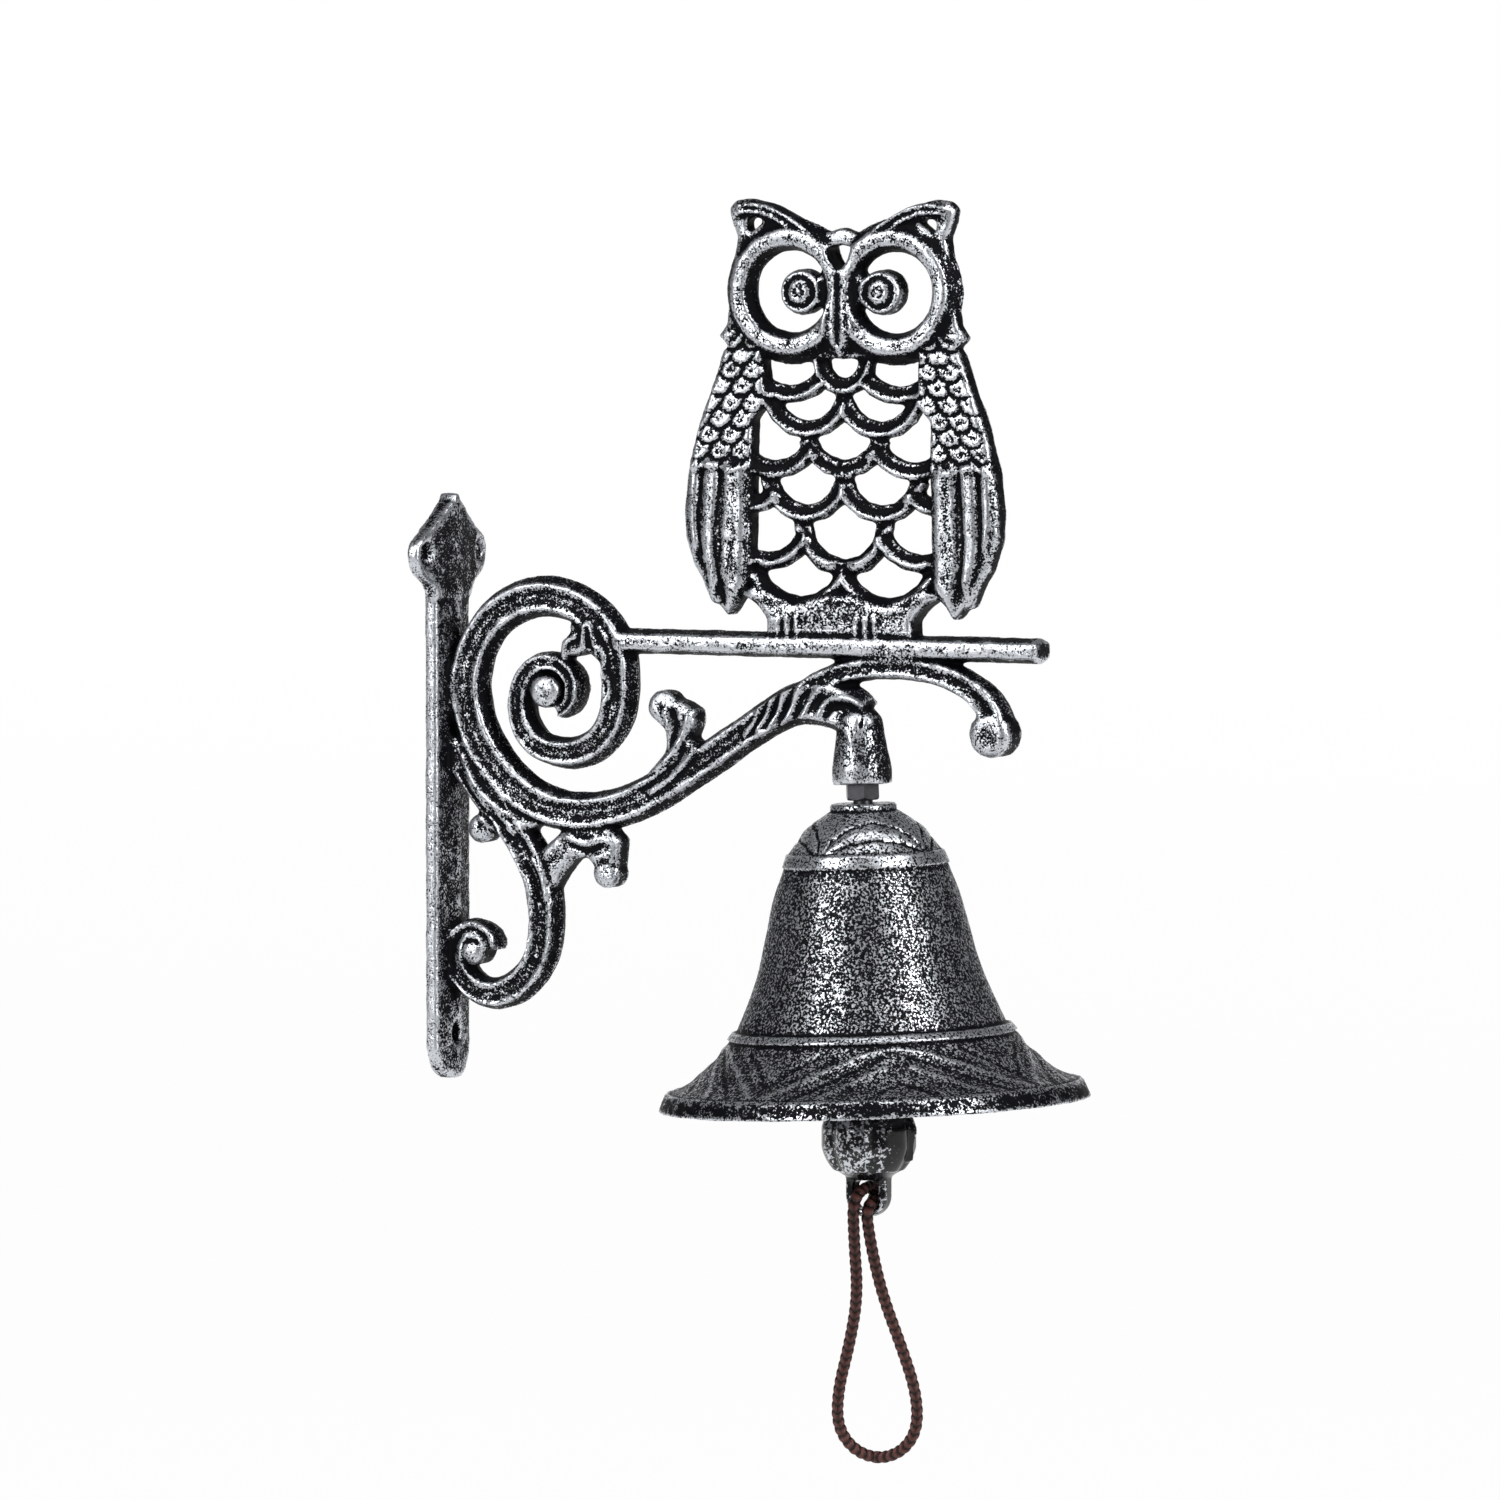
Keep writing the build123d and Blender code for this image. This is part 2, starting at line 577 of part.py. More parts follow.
print("cord radii", [round(radius, 1) for radius in radii])
with BuildPart() as pull_cord:
    with BuildLine() as cord_route:
        FilletPolyline(*route, radius=radii)
    with BuildSketch(Plane(route[0], z_dir=route[1] - route[0])):
        Circle(cord_diameter / 2)
    sweep(path=cord_route.line)
cord_length = sum(run.length for run in cord_route.edges())
print("cord", round(cord_length, 1), pull_cord.part.volume / (pi * cord_diameter ** 2 / 4 * cord_length))
pull_cord.part.label = "pull_cord"
export_step(pull_cord.part, "parts/pull_cord.step")

with BuildPart() as cord_knot:
    knot_seat = (pivot.X, lug_thickness / 2 + seat_gap, lug_hole_middle - knot_sag)
    with Locations(Location(knot_seat, (90, 0, 0))):
        Cylinder(knot_width / 2, knot_depth, align=(Align.CENTER, Align.CENTER, Align.MAX))
    chamfer(cord_knot.edges(), length=knot_depth * 0.35)
cord_knot.part.label = "cord_knot"
export_step(cord_knot.part, "parts/cord_knot.step")
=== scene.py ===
"""Looks of a cast-iron wall bell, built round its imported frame.

Metres in the scene, millimetres in the tables of sizes below. +X points away from the wall and +Z up;
the camera sees the side that faces -Y.
"""

import math

import bmesh
import bpy
import numpy as np
from mathutils import Matrix, Vector, noise


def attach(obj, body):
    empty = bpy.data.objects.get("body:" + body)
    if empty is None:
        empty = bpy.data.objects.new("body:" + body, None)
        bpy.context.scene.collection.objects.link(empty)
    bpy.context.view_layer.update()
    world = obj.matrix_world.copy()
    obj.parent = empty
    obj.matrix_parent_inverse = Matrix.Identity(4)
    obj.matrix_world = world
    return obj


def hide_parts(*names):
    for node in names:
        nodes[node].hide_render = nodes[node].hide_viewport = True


MM = 0.001
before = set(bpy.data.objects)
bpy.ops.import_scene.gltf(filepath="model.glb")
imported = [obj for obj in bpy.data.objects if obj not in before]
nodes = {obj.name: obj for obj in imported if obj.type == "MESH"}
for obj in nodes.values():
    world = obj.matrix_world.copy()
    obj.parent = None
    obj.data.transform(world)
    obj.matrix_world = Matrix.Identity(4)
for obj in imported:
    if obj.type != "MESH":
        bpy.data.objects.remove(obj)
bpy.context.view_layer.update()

# Upright axes of the hanging clapper and of the owl, in millimetres from the wall
PIVOT_X = 122.575
OWL_X = 115.7


# Shader nodes

def add_node(tree, kind, links=(), **values):
    """A node with its properties set; links are (input, output socket) and numbers are set on the inputs."""
    node = tree.nodes.new(kind)
    for key, value in values.items():
        setattr(node, key, value)
    for socket, source in links:
        if isinstance(source, (int, float, tuple)):
            node.inputs[socket].default_value = source
        else:
            tree.links.new(source, node.inputs[socket])
    return node


def combine(tree, operation, first, second):
    """The output of a Math node on two sockets or numbers."""
    return add_node(tree, "ShaderNodeMath", [(0, first), (1, second)], operation=operation).outputs[0]


def remap(tree, value, start=(0.0, 1.0), end=(0.0, 1.0)):
    """A value taken from one span to another, and held within it."""
    spans = [("From Min", start[0]), ("From Max", start[1]), ("To Min", end[0]), ("To Max", end[1])]
    return add_node(tree, "ShaderNodeMapRange", [("Value", value), *spans]).outputs[0]


def object_noise(tree, scale, detail, roughness=0.5):
    """Noise on Object coordinates."""
    coords = add_node(tree, "ShaderNodeTexCoord")
    spot = coords.outputs["Object"]
    links = [("Vector", spot), ("Scale", scale), ("Detail", detail), ("Roughness", roughness)]
    return add_node(tree, "ShaderNodeTexNoise", links).outputs["Fac"]


def blend(tree, share, low, high):
    """The colour between two, by a share."""
    links = [("Factor", share), ("A", low), ("B", high)]
    return add_node(tree, "ShaderNodeMix", links, data_type="RGBA").outputs["Result"]


def bumped(tree, height, depth, strength):
    """Bumped normals, for a depth in millimetres."""
    links = [("Strength", strength), ("Distance", depth * MM), ("Height", height)]
    return add_node(tree, "ShaderNodeBump", links).outputs[0]


def new_material(name):
    """A material and its empty node tree."""
    material = bpy.data.materials.new(name)
    material.use_nodes = True
    material.node_tree.nodes.clear()
    return material, material.node_tree


def principled(tree, links):
    """The shader of a material, joined to its output."""
    shader = add_node(tree, "ShaderNodeBsdfPrincipled", links)
    add_node(tree, "ShaderNodeOutputMaterial", [("Surface", shader.outputs[0])])


def node_group(name, inputs, outputs):
    """An empty shader node group with number sockets: inputs as name and default, outputs as names."""
    tree = bpy.data.node_groups.new(name, "ShaderNodeTree")
    for label, default in inputs:
        socket = tree.interface.new_socket(name=label, in_out="INPUT", socket_type="NodeSocketFloat")
        socket.default_value = default
    for label in outputs:
        tree.interface.new_socket(name=label, in_out="OUTPUT", socket_type="NodeSocketFloat")
    return tree, tree.nodes.new("NodeGroupInput"), tree.nodes.new("NodeGroupOutput")


# Camera, floor and light: places and distances in millimetres, angles in degrees, azimuths from +X

CAMERA_AIM = (92.851, -8.226, 12.032)
CAMERA_AZIMUTH = -64.0
CAMERA_ELEVATION = 3.5
CAMERA_DISTANCE = 3000.0
PHOTO_WIDTH = 382.65
SENSOR_WIDTH = 36.0
LAMP_AIM = (110.0, 0.0, 0.0)
LAMP_DISTANCE = 2200.0
LAMPS = [  # name, azimuth, elevation, width and height in metres, power in watts
    ("right_box", -17, 28, 0.55, 1.9, 40),
    ("left_box", -112, 26, 0.55, 1.9, 33),
    ("top_box", -64, 66, 1.1, 0.8, 9),
]
ROOM_LIGHT = 0.10
WHITE = (1, 1, 1, 1)
BACKDROP_EDGE = (0.8, 0.97)  # cosines of the angles from the backdrop's middle at which it starts and is full
FLOOR_MIDDLE = (0.0, 2600.0, -260.0)
FLOOR_HALF_WIDTH = 3500.0
FLOOR_PAINT = (0.86, 0.86, 0.86, 1)
FLOOR_FADE = (1.0, 5.0)  # the floor is as white as the backdrop from the far end of this run of Y, in metres
FLOOR_WHITE = (0.97, 1.0)


def way_to(azimuth, elevation):
    """The direction at an azimuth and an elevation."""
    turn, lift = math.radians(azimuth), math.radians(elevation)
    return Vector((math.cos(turn) * math.cos(lift), math.sin(turn) * math.cos(lift), math.sin(lift)))


def look_back(name, data, aim, way, distance):
    """Places a camera or a lamp at a distance from its aim, along a way, and turns it to face the aim."""
    obj = bpy.data.objects.new(name, data)
    obj.location = (Vector(aim) + way * distance) * MM
    obj.rotation_mode = "QUATERNION"
    obj.rotation_quaternion = (-way).to_track_quat("-Z", "Y")
    bpy.context.scene.collection.objects.link(obj)
    return obj


def place_camera():
    """The photograph's view: a long lens from the front, turned 26 degrees towards the open end."""
    data = bpy.data.cameras.new("camera")
    data.sensor_width = SENSOR_WIDTH
    data.lens = SENSOR_WIDTH * CAMERA_DISTANCE / PHOTO_WIDTH
    data.clip_start, data.clip_end = 0.1, 50.0
    way = way_to(CAMERA_AZIMUTH, CAMERA_ELEVATION)
    bpy.context.scene.camera = look_back("camera", data, CAMERA_AIM, way, CAMERA_DISTANCE)


def add_lamp(name, azimuth, elevation, width, height, power):
    """A soft box that faces the bell."""
    data = bpy.data.lights.new(name, "AREA")
    data.shape = "RECTANGLE"
    data.size, data.size_y = width, height
    data.energy = power
    look_back(name, data, LAMP_AIM, way_to(azimuth, elevation), LAMP_DISTANCE)


def seen_directly(tree, backdrop=1.0):
    """One for the rays that show the white background: from the camera, through glass and off metal.

    Reflections show white only as far as backdrop says that the white reaches.
    """
    path = add_node(tree, "ShaderNodeLightPath")
    glossy = combine(tree, "MULTIPLY", path.outputs["Is Glossy Ray"], backdrop)
    either = combine(tree, "MAXIMUM", path.outputs["Is Camera Ray"], glossy)
    return combine(tree, "MAXIMUM", either, path.outputs["Is Transmission Ray"])


def make_world():
    """A dim room with a white backdrop behind the object."""
    world = bpy.data.worlds.new("studio")
    bpy.context.scene.world = world
    world.use_nodes = True
    tree = world.node_tree
    tree.nodes.clear()
    room = add_node(tree, "ShaderNodeBackground", [("Color", WHITE), ("Strength", ROOM_LIGHT)])
    white = add_node(tree, "ShaderNodeBackground", [("Color", WHITE), ("Strength", 1.0)])
    coords = add_node(tree, "ShaderNodeTexCoord")
    backdrop_way = tuple(-way_to(CAMERA_AZIMUTH, 0))
    towards = add_node(tree, "ShaderNodeVectorMath", [(0, coords.outputs["Generated"]), (1, backdrop_way)],
                       operation="DOT_PRODUCT")
    backdrop = remap(tree, towards.outputs["Value"], BACKDROP_EDGE)
    shaders = [(0, seen_directly(tree, backdrop)), (1, room.outputs[0]), (2, white.outputs[0])]
    mix = add_node(tree, "ShaderNodeMixShader", shaders)
    add_node(tree, "ShaderNodeOutputWorld", [("Surface", mix.outputs[0])])


def make_floor():
    """A pale floor under and behind the object, which keeps its shadow."""
    bm = bmesh.new()
    bmesh.ops.create_grid(bm, x_segments=1, y_segments=1, size=FLOOR_HALF_WIDTH * MM)
    bmesh.ops.translate(bm, vec=Vector(FLOOR_MIDDLE) * MM, verts=bm.verts)
    floor = add_mesh("floor", bm)
    material, tree = new_material("pale_floor")
    pale = add_node(tree, "ShaderNodeBsdfDiffuse", [("Color", FLOOR_PAINT)])
    white = add_node(tree, "ShaderNodeEmission", [("Strength", 1.0)])
    coords = add_node(tree, "ShaderNodeTexCoord")
    split = add_node(tree, "ShaderNodeSeparateXYZ", [("Vector", coords.outputs["Object"])])
    fading = remap(tree, split.outputs["Y"], FLOOR_FADE, FLOOR_WHITE)
    share = combine(tree, "MULTIPLY", seen_directly(tree), fading)
    mix = add_node(tree, "ShaderNodeMixShader", [(0, share), (1, pale.outputs[0]), (2, white.outputs[0])])
    add_node(tree, "ShaderNodeOutputMaterial", [("Surface", mix.outputs[0])])
    floor.data.materials.append(material)


# Mesh helpers

EASING = 0.6
EDGE_ROUNDS = 5
FORM_ROUNDS = 30
WEAR_ON_FLAT = 0.5
SEED_STEP = (17.3, 5.1, 9.7)


def add_mesh(name, bm):
    """Makes an object of a finished bmesh."""
    mesh = bpy.data.meshes.new(name)
    bm.to_mesh(mesh)
    bm.free()
    return add_object(name, mesh)


def add_object(name, mesh):
    """Adds a smoothly shaded mesh to the scene."""
    mesh.polygons.foreach_set("use_smooth", [True] * len(mesh.polygons))
    obj = bpy.data.objects.new(name, mesh)
    bpy.context.scene.collection.objects.link(obj)
    return obj


def merged_node(node):
    """A bmesh of a CAD node with its loose triangles joined."""
    bm = bmesh.new()
    bm.from_mesh(nodes[node].data)
    bmesh.ops.remove_doubles(bm, verts=bm.verts, dist=2e-6)
    return bm


def evaluated_mesh(obj):
    """A new mesh of an object or a curve as Blender evaluates it."""
    graph = bpy.context.evaluated_depsgraph_get()
    return bpy.data.meshes.new_from_object(obj.evaluated_get(graph))


def cast_skin(name, bm, voxel):
    """A finely meshed copy of a shape, its corners slightly worn as a sand casting's are."""
    obj = add_mesh(name, bm)
    skin = obj.modifiers.new("skin", "REMESH")
    skin.mode = "VOXEL"
    skin.voxel_size = voxel * MM
    mesh = evaluated_mesh(obj)
    obj.modifiers.clear()
    obj.data = mesh
    mesh.name = name
    mesh.polygons.foreach_set("use_smooth", [True] * len(mesh.polygons))
    return obj


def places(mesh):
    """Vertex places in millimetres."""
    flat = np.empty(len(mesh.vertices) * 3)
    mesh.vertices.foreach_get("co", flat)
    return flat.reshape(-1, 3) / MM


def place(mesh, spots):
    """Moves the vertices to places in millimetres."""
    mesh.vertices.foreach_set("co", (spots * MM).ravel())
    mesh.update()


def facing(mesh):
    """Vertex normals."""
    flat = np.empty(len(mesh.vertices) * 3)
    mesh.vertex_normals.foreach_get("vector", flat)
    return flat.reshape(-1, 3)


def neighbours(mesh):
    """The two vertices of each edge."""
    pairs = np.empty(len(mesh.edges) * 2, dtype=np.int64)
    mesh.edges.foreach_get("vertices", pairs)
    return pairs.reshape(-1, 2)


def eased(values, pairs, rounds):
    """Values moved towards the mean of their neighbours, a number of times."""
    count = len(values)
    ends = np.r_[pairs[:, 0], pairs[:, 1]]
    others = np.r_[pairs[:, 1], pairs[:, 0]]
    links = np.maximum(np.bincount(ends, minlength=count), 1)
    values = values.copy()
    for _ in range(rounds):
        for column in range(values.shape[1]):
            line = values[:, column]
            total = np.bincount(ends, weights=line[others], minlength=count)
            values[:, column] = line + EASING * (total / links - line)
    return values


def grain(spots, size, seed):
    """Even noise about nought at each place, with lumps of about the given size in millimetres."""
    offset = Vector(SEED_STEP) * seed
    return np.array([noise.noise(Vector(spot) / size + offset) for spot in spots])


def cast_grain(spots, fine, coarse, seed):
    """How uneven a casting is at each place: fine and coarse lumps, each as height and size."""
    return fine[0] * grain(spots, fine[1], seed) + coarse[0] * grain(spots, coarse[1], seed + 1)


def mark(mesh, name, values):
    """Stores one number for each vertex."""
    layer = mesh.attributes.new(name, "FLOAT", "POINT")
    layer.data.foreach_set("value", values.astype(np.float32))


def mark_wear_and_light(mesh, extra, edge=0.16, form=0.9, most=1.0):
    """Stores how far each place stands out from what is round it: one on edges and ridges, nought in hollows.

    To stand out by edge from the nearest places, or by form from a wider stretch, counts as one more. Extra
    is added as it is: some callers put painted highlights and painted shade into it beside real wear.
    """
    spots = places(mesh)
    pairs = neighbours(mesh)
    normals = facing(mesh)
    fine = ((spots - eased(spots, pairs, EDGE_ROUNDS)) * normals).sum(axis=1)
    broad = ((spots - eased(spots, pairs, FORM_ROUNDS)) * normals).sum(axis=1)
    wear_and_light = WEAR_ON_FLAT + fine / edge + broad / form + extra
    mark(mesh, "wear_and_light", np.clip(eased(wear_and_light[:, None], pairs, 1)[:, 0], 0, most))


def line_distance(x, z, line):
    """Distance from each place to the nearest run of a line drawn in a plane."""
    best = np.full(len(x), 1e9)
    for (ax, az), (bx, bz) in zip(line, line[1:]):
        dx, dz = bx - ax, bz - az
        along = np.clip(((x - ax) * dx + (z - az) * dz) / (dx * dx + dz * dz), 0, 1)
        best = np.minimum(best, np.hypot(x - ax - along * dx, z - az - along * dz))
    return best


def ridge(apart, width):
    """The rounded section of a ridge: one on its line, and falling away over its half width."""
    return np.exp(-(apart / width) ** 2)


# Materials: noise scales are for Object coordinates in metres

IRON_BLACK = (0.0030, 0.0033, 0.0046, 1)
WORN_SILVER = (0.64, 0.66, 0.70, 1)
SILVER_ROUGHNESS = 0.30
SILVER_METALLIC = 0.95
GRAIN_SCALE = 0.6
PIT_SCALE = 0.35
PIT_EDGE = (0.3, 0.45)
PATCH_NOISE = 260.0
SPECKLE_WEIGHT = 1.6
WEAR_AND_LIGHT_WEIGHT = 0.65
SILVER_CATCHES = (1.36, 1.46)
STEEL_GRAY = (0.10, 0.10, 0.11, 1)
WIRE_GRAY = (0.14, 0.14, 0.15, 1)
STAIN_NOISE = 700.0
STAIN_SHADE = 0.6
FIBRE_NOISE = 4000.0
# Painted shade and highlight on the braid: near black in the gaps between strands, and the cord's brown
# lifted to a painted highlight on the strand tops
CORD_GAP_SHADE = (0.004, 0.0018, 0.0016, 1)
CORD_STRAND_LIT = (0.120, 0.045, 0.038, 1)


def sand_grain_group():
    """The skin of a sand casting: Height of pebbled grain with pits, from Object coordinates."""
    tree, inside, outside = node_group("sand_grain", [("Size", 900.0), ("Pits", 0.5)], ["Height"])
    size = inside.outputs["Size"]
    pebbles = object_noise(tree, size, 3.0, 0.6)
    pits = object_noise(tree, combine(tree, "MULTIPLY", size, PIT_SCALE), 2.0)
    sunk = combine(tree, "MULTIPLY", remap(tree, pits, PIT_EDGE), inside.outputs["Pits"])
    tree.links.new(combine(tree, "ADD", pebbles, sunk), outside.inputs["Height"])
    return tree


def dry_brush_group():
    """Silver paint dragged over the high places: a Mask that is one where the silver has caught."""
    inputs = [("WearAndLight", 0.5), ("Cover", 0.5), ("Speckle", 1500.0), ("Patches", 0.4)]
    tree, inside, outside = node_group("dry_brush", inputs, ["Mask", "Height"])
    speckle = object_noise(tree, inside.outputs["Speckle"], 3.0, 0.62)
    patches = combine(tree, "MULTIPLY", object_noise(tree, PATCH_NOISE, 2.0), inside.outputs["Patches"])
    noisy = combine(tree, "ADD", combine(tree, "MULTIPLY", speckle, SPECKLE_WEIGHT), patches)
    # The stored wear that feeds this also holds painted highlights and painted shade
    high = combine(tree, "MULTIPLY", inside.outputs["WearAndLight"], WEAR_AND_LIGHT_WEIGHT)
    covered = combine(tree, "ADD", combine(tree, "ADD", noisy, high), inside.outputs["Cover"])
    tree.links.new(remap(tree, covered, SILVER_CATCHES), outside.inputs["Mask"])
    tree.links.new(speckle, outside.inputs["Height"])
    return tree


def iron_material(name, cover, speckle, depth, patches=0.4, rough=0.5, shine=0.05):
    """Black-painted cast iron with silver dry-brushed over its high places.

    Cover is how much more silver there is than on a plain casting, and speckle the scale of its noise.
    """
    material, tree = new_material(name)
    # The stored wear also carries painted highlights and painted shade, as more or less silver
    wear_and_light_node = add_node(tree, "ShaderNodeAttribute", attribute_name="wear_and_light")
    size = [("Size", speckle * GRAIN_SCALE)]
    skin = add_node(tree, "ShaderNodeGroup", size, node_tree=GROUPS["sand_grain"])
    settings = [("WearAndLight", wear_and_light_node.outputs["Fac"]), ("Cover", cover), ("Speckle", speckle), ("Patches", patches)]
    brush = add_node(tree, "ShaderNodeGroup", settings, node_tree=GROUPS["dry_brush"])
    mask = brush.outputs["Mask"]
    rise = combine(tree, "ADD", brush.outputs["Height"], skin.outputs["Height"])
    principled(tree, [
        ("Base Color", blend(tree, mask, IRON_BLACK, WORN_SILVER)),
        ("Roughness", remap(tree, mask, end=(rough, SILVER_ROUGHNESS))),
        ("Metallic", remap(tree, mask, end=(0.0, SILVER_METALLIC))),
        ("Specular IOR Level", shine),
        ("Normal", bumped(tree, rise, depth, 1.0)),
    ])
    return material


def steel_material(name, color, rough):
    """Dark machined steel with a faint uneven tarnish."""
    material, tree = new_material(name)
    stain = object_noise(tree, STAIN_NOISE, 3.0)
    darker = tuple(part * STAIN_SHADE for part in color[:3]) + (1,)
    principled(tree, [
        ("Base Color", blend(tree, stain, darker, color)),
        ("Roughness", remap(tree, stain, end=(rough - 0.08, rough + 0.1))),
        ("Metallic", 0.85),
        ("Normal", bumped(tree, stain, 0.05, 0.4)),
    ])
    return material


def cord_material():
    """Dark brown polyester braid with painted shade near black in the gaps between the strands and a painted
    highlight on their tops, by an attribute that is high on the strands and low between them.
    """
    material, tree = new_material("cord_braid")
    lit_share = add_node(tree, "ShaderNodeAttribute", attribute_name="strand_light")
    fibre = object_noise(tree, FIBRE_NOISE, 2.0)
    principled(tree, [
        ("Base Color", blend(tree, lit_share.outputs["Fac"], CORD_GAP_SHADE, CORD_STRAND_LIT)),
        ("Roughness", 0.45),
        ("Specular IOR Level", 0.25),
        ("Normal", bumped(tree, fibre, 0.08, 0.6)),
    ])
    return material


def dress(obj, material):
    """Gives a piece its only material, and the slot that names it."""
    obj.data.materials.clear()
    obj.data.materials.append(material)


# Pull cord: the same route as in the CAD source, from the clapper's middle line

CORD_ROUTE = [
    (-1.0, 4.2, -99.4), (-1.0, -7.6, -99.5), (-0.8, -7.0, -113.0), (-0.4, -5.6, -126.6),
    (-3.2, -4.8, -139.6), (-6.4, -4.6, -150.8), (-6.8, -4.6, -160.2), (-2.5, -4.6, -166.2),
    (4.6, -4.6, -168.5), (11.7, -4.6, -166.2), (16.0, -4.6, -160.2), (15.6, -4.6, -150.8),
    (11.4, -4.5, -139.4), (6.0, -4.4, -126.6), (2.6, -4.6, -113.2), (1.2, -4.8, -102.4),
    (1.2, 4.2, -102.4),
]
CORD_RADIUS = 1.7
CORD_STEPS = 44
CORD_FACES = 22  # as Blender's bevel resolution
STITCH_PITCH = 2.1
STITCH_SLANT = 0.8  # as a share of the pitch, across one column
STITCH_ROUNDNESS = 0.8
COLUMN_ROUNDNESS = 0.4
HALF_COLUMNS = 4
GAP_RADIUS = 0.74  # at the bottom of the gaps, as a share of the cord's radius
KNOT_MIDDLE = (PIVOT_X + 0.1, 5.8, -101.7)
KNOT_RADIUS = 1.5
KNOT_SPREAD = 0.82
KNOT_DEPTH = 1.55
KNOT_POINTS = 24


def smooth_line(name, points, depth=0.0, closed=False):
    """A NURBS line on given control points, in millimetres, with a round section if depth is given."""
    data = bpy.data.curves.new(name, "CURVE")
    data.dimensions = "3D"
    data.bevel_depth = depth * MM
    data.bevel_resolution = CORD_FACES
    data.use_fill_caps = False
    spline = data.splines.new("NURBS")
    spline.points.add(len(points) - 1)
    for spot, point in zip(spline.points, points):
        spot.co = (point[0] * MM, point[1] * MM, point[2] * MM, 1)
    spline.use_cyclic_u = closed
    spline.order_u = 3
    spline.use_endpoint_u = not closed
    spline.resolution_u = CORD_STEPS
    obj = bpy.data.objects.new(name, data)
    bpy.context.scene.collection.objects.link(obj)
    return obj


def line_mesh(name, points, depth=0.0, closed=False):
    """The mesh of such a line, without its curve."""
    line = smooth_line(name, points, depth, closed)
    mesh = evaluated_mesh(line)
    bpy.data.objects.remove(line)
    return mesh


def braid(name, points, closed=False, radius=CORD_RADIUS):
    """A round braid along a line: strands slant one way and the other in turn, so that they meet in Vs.

    A seam between two columns faces the camera, and the Vs point downwards.
    """
    route = line_mesh(name + "_line", points, closed=closed)
    path = places(route)
    bpy.data.meshes.remove(route)
    mesh = line_mesh(name, points, radius, closed)
    around = len(mesh.vertices) // len(path)
    centres = np.repeat(path, around, axis=0)
    out = (places(mesh) - centres) / radius
    steps = np.r_[0, np.cumsum(np.linalg.norm(np.diff(path, axis=0), axis=1))]
    along = np.repeat(steps, around)
    downward = np.repeat(-np.sign(np.gradient(path[:, 2])), around)
    seam_way = np.array(way_to(CAMERA_AZIMUTH, 0))
    turn = np.arccos(np.clip(out @ seam_way, -1, 1)) / math.tau * HALF_COLUMNS
    across = turn % 1.0
    lean = np.where(turn.astype(int) % 2 == 0, across, 1 - across)
    slanted = along / STITCH_PITCH + lean * STITCH_SLANT * downward
    strand = np.abs(np.sin(math.pi * slanted)) ** STITCH_ROUNDNESS
    height = strand * np.sin(math.pi * across) ** COLUMN_ROUNDNESS
    place(mesh, centres + out * (radius * (GAP_RADIUS + (1 - GAP_RADIUS) * height))[:, None])
    # The share of painted highlight on the strand tops against painted shade in the gaps, for the cord's
    # colour
    mark(mesh, "strand_light", height ** 2)
    bm = bmesh.new()
    bm.from_mesh(mesh)
    bmesh.ops.holes_fill(bm, edges=[edge for edge in bm.edges if edge.is_boundary], sides=0)
    bm.to_mesh(mesh)
    bm.free()
    return add_object(name, mesh), path


def make_cord():
    """The pull loop and the knot behind the clapper's lug."""
    cord, path = braid("pull_cord_braid", [(PIVOT_X + x, y, z) for x, y, z in CORD_ROUTE])
    dress(cord, MATERIALS["cord"])
    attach(cord, "clapper")
    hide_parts("pull_cord")
    turns = [math.tau * step / KNOT_POINTS for step in range(KNOT_POINTS)]
    twist = [(KNOT_MIDDLE[0] + KNOT_SPREAD * (math.sin(t) + 2 * math.sin(2 * t)),
              KNOT_MIDDLE[1] - KNOT_DEPTH * math.sin(3 * t),
              KNOT_MIDDLE[2] + KNOT_SPREAD * (math.cos(t) - 2 * math.cos(2 * t))) for t in turns]
    knot, _ = braid("cord_knot_braid", twist, closed=True, radius=KNOT_RADIUS)
    dress(knot, MATERIALS["cord"])
    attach(knot, "clapper")
    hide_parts("cord_knot")


# Bell: outline as radius and depth below the cap, outside from the top, then inside from the rim

BELL_OUTSIDE = [
    [(3.1, 0), (8.1, 0), (8.5, 0.6), (8.5, 1.8), (9.3, 2.2)],
    [(9.3, 2.2), (14.6, 6.0), (19.4, 12.1)],
    [(19.4, 12.1), (20.2, 12.5), (21.4, 15.5), (21.0, 15.9)],
    [(21.0, 15.9), (24.1, 24.6), (26.4, 34.3), (28.9, 43.7), (34.4, 57.0)],
    [(34.4, 57.0), (35.7, 57.2), (37.0, 58.8), (36.4, 59.4)],
    [(36.4, 59.4), (40.4, 64.2), (46.4, 69.4), (52.0, 72.2)],
    [(52.0, 72.2), (52.8, 72.0), (53.6, 72.8), (55.1, 76.4), (54.9, 76.7), (51.8, 76.7)],
]
BELL_INSIDE = [
    (51.8, 76.7), (44.4, 71.4), (37.4, 65.8), (31.2, 57.4), (25.6, 43.8), (23.0, 34.3), (20.7, 24.6),
    (16.8, 14.6), (11.6, 7.6), (7.2, 3.4), (3.1, 3.4),
]
BELL_SIDE = [(8.5, 0)] + BELL_OUTSIDE[1] + BELL_OUTSIDE[3] + BELL_OUTSIDE[5] + [(55.1, 76.7)]
CURVED_ROWS = (1, 3, 5)
BELL_TURNS = 300
OUTSIDE_STEP = 0.5
INSIDE_STEP = 1.3
CURVE_PARTS = 12
HANG_POINT = (120.9, 0.0, -1.3)
HANG_TILT = math.radians(2.5)
CROWN_END = -16
RIM_TOP = -72.4
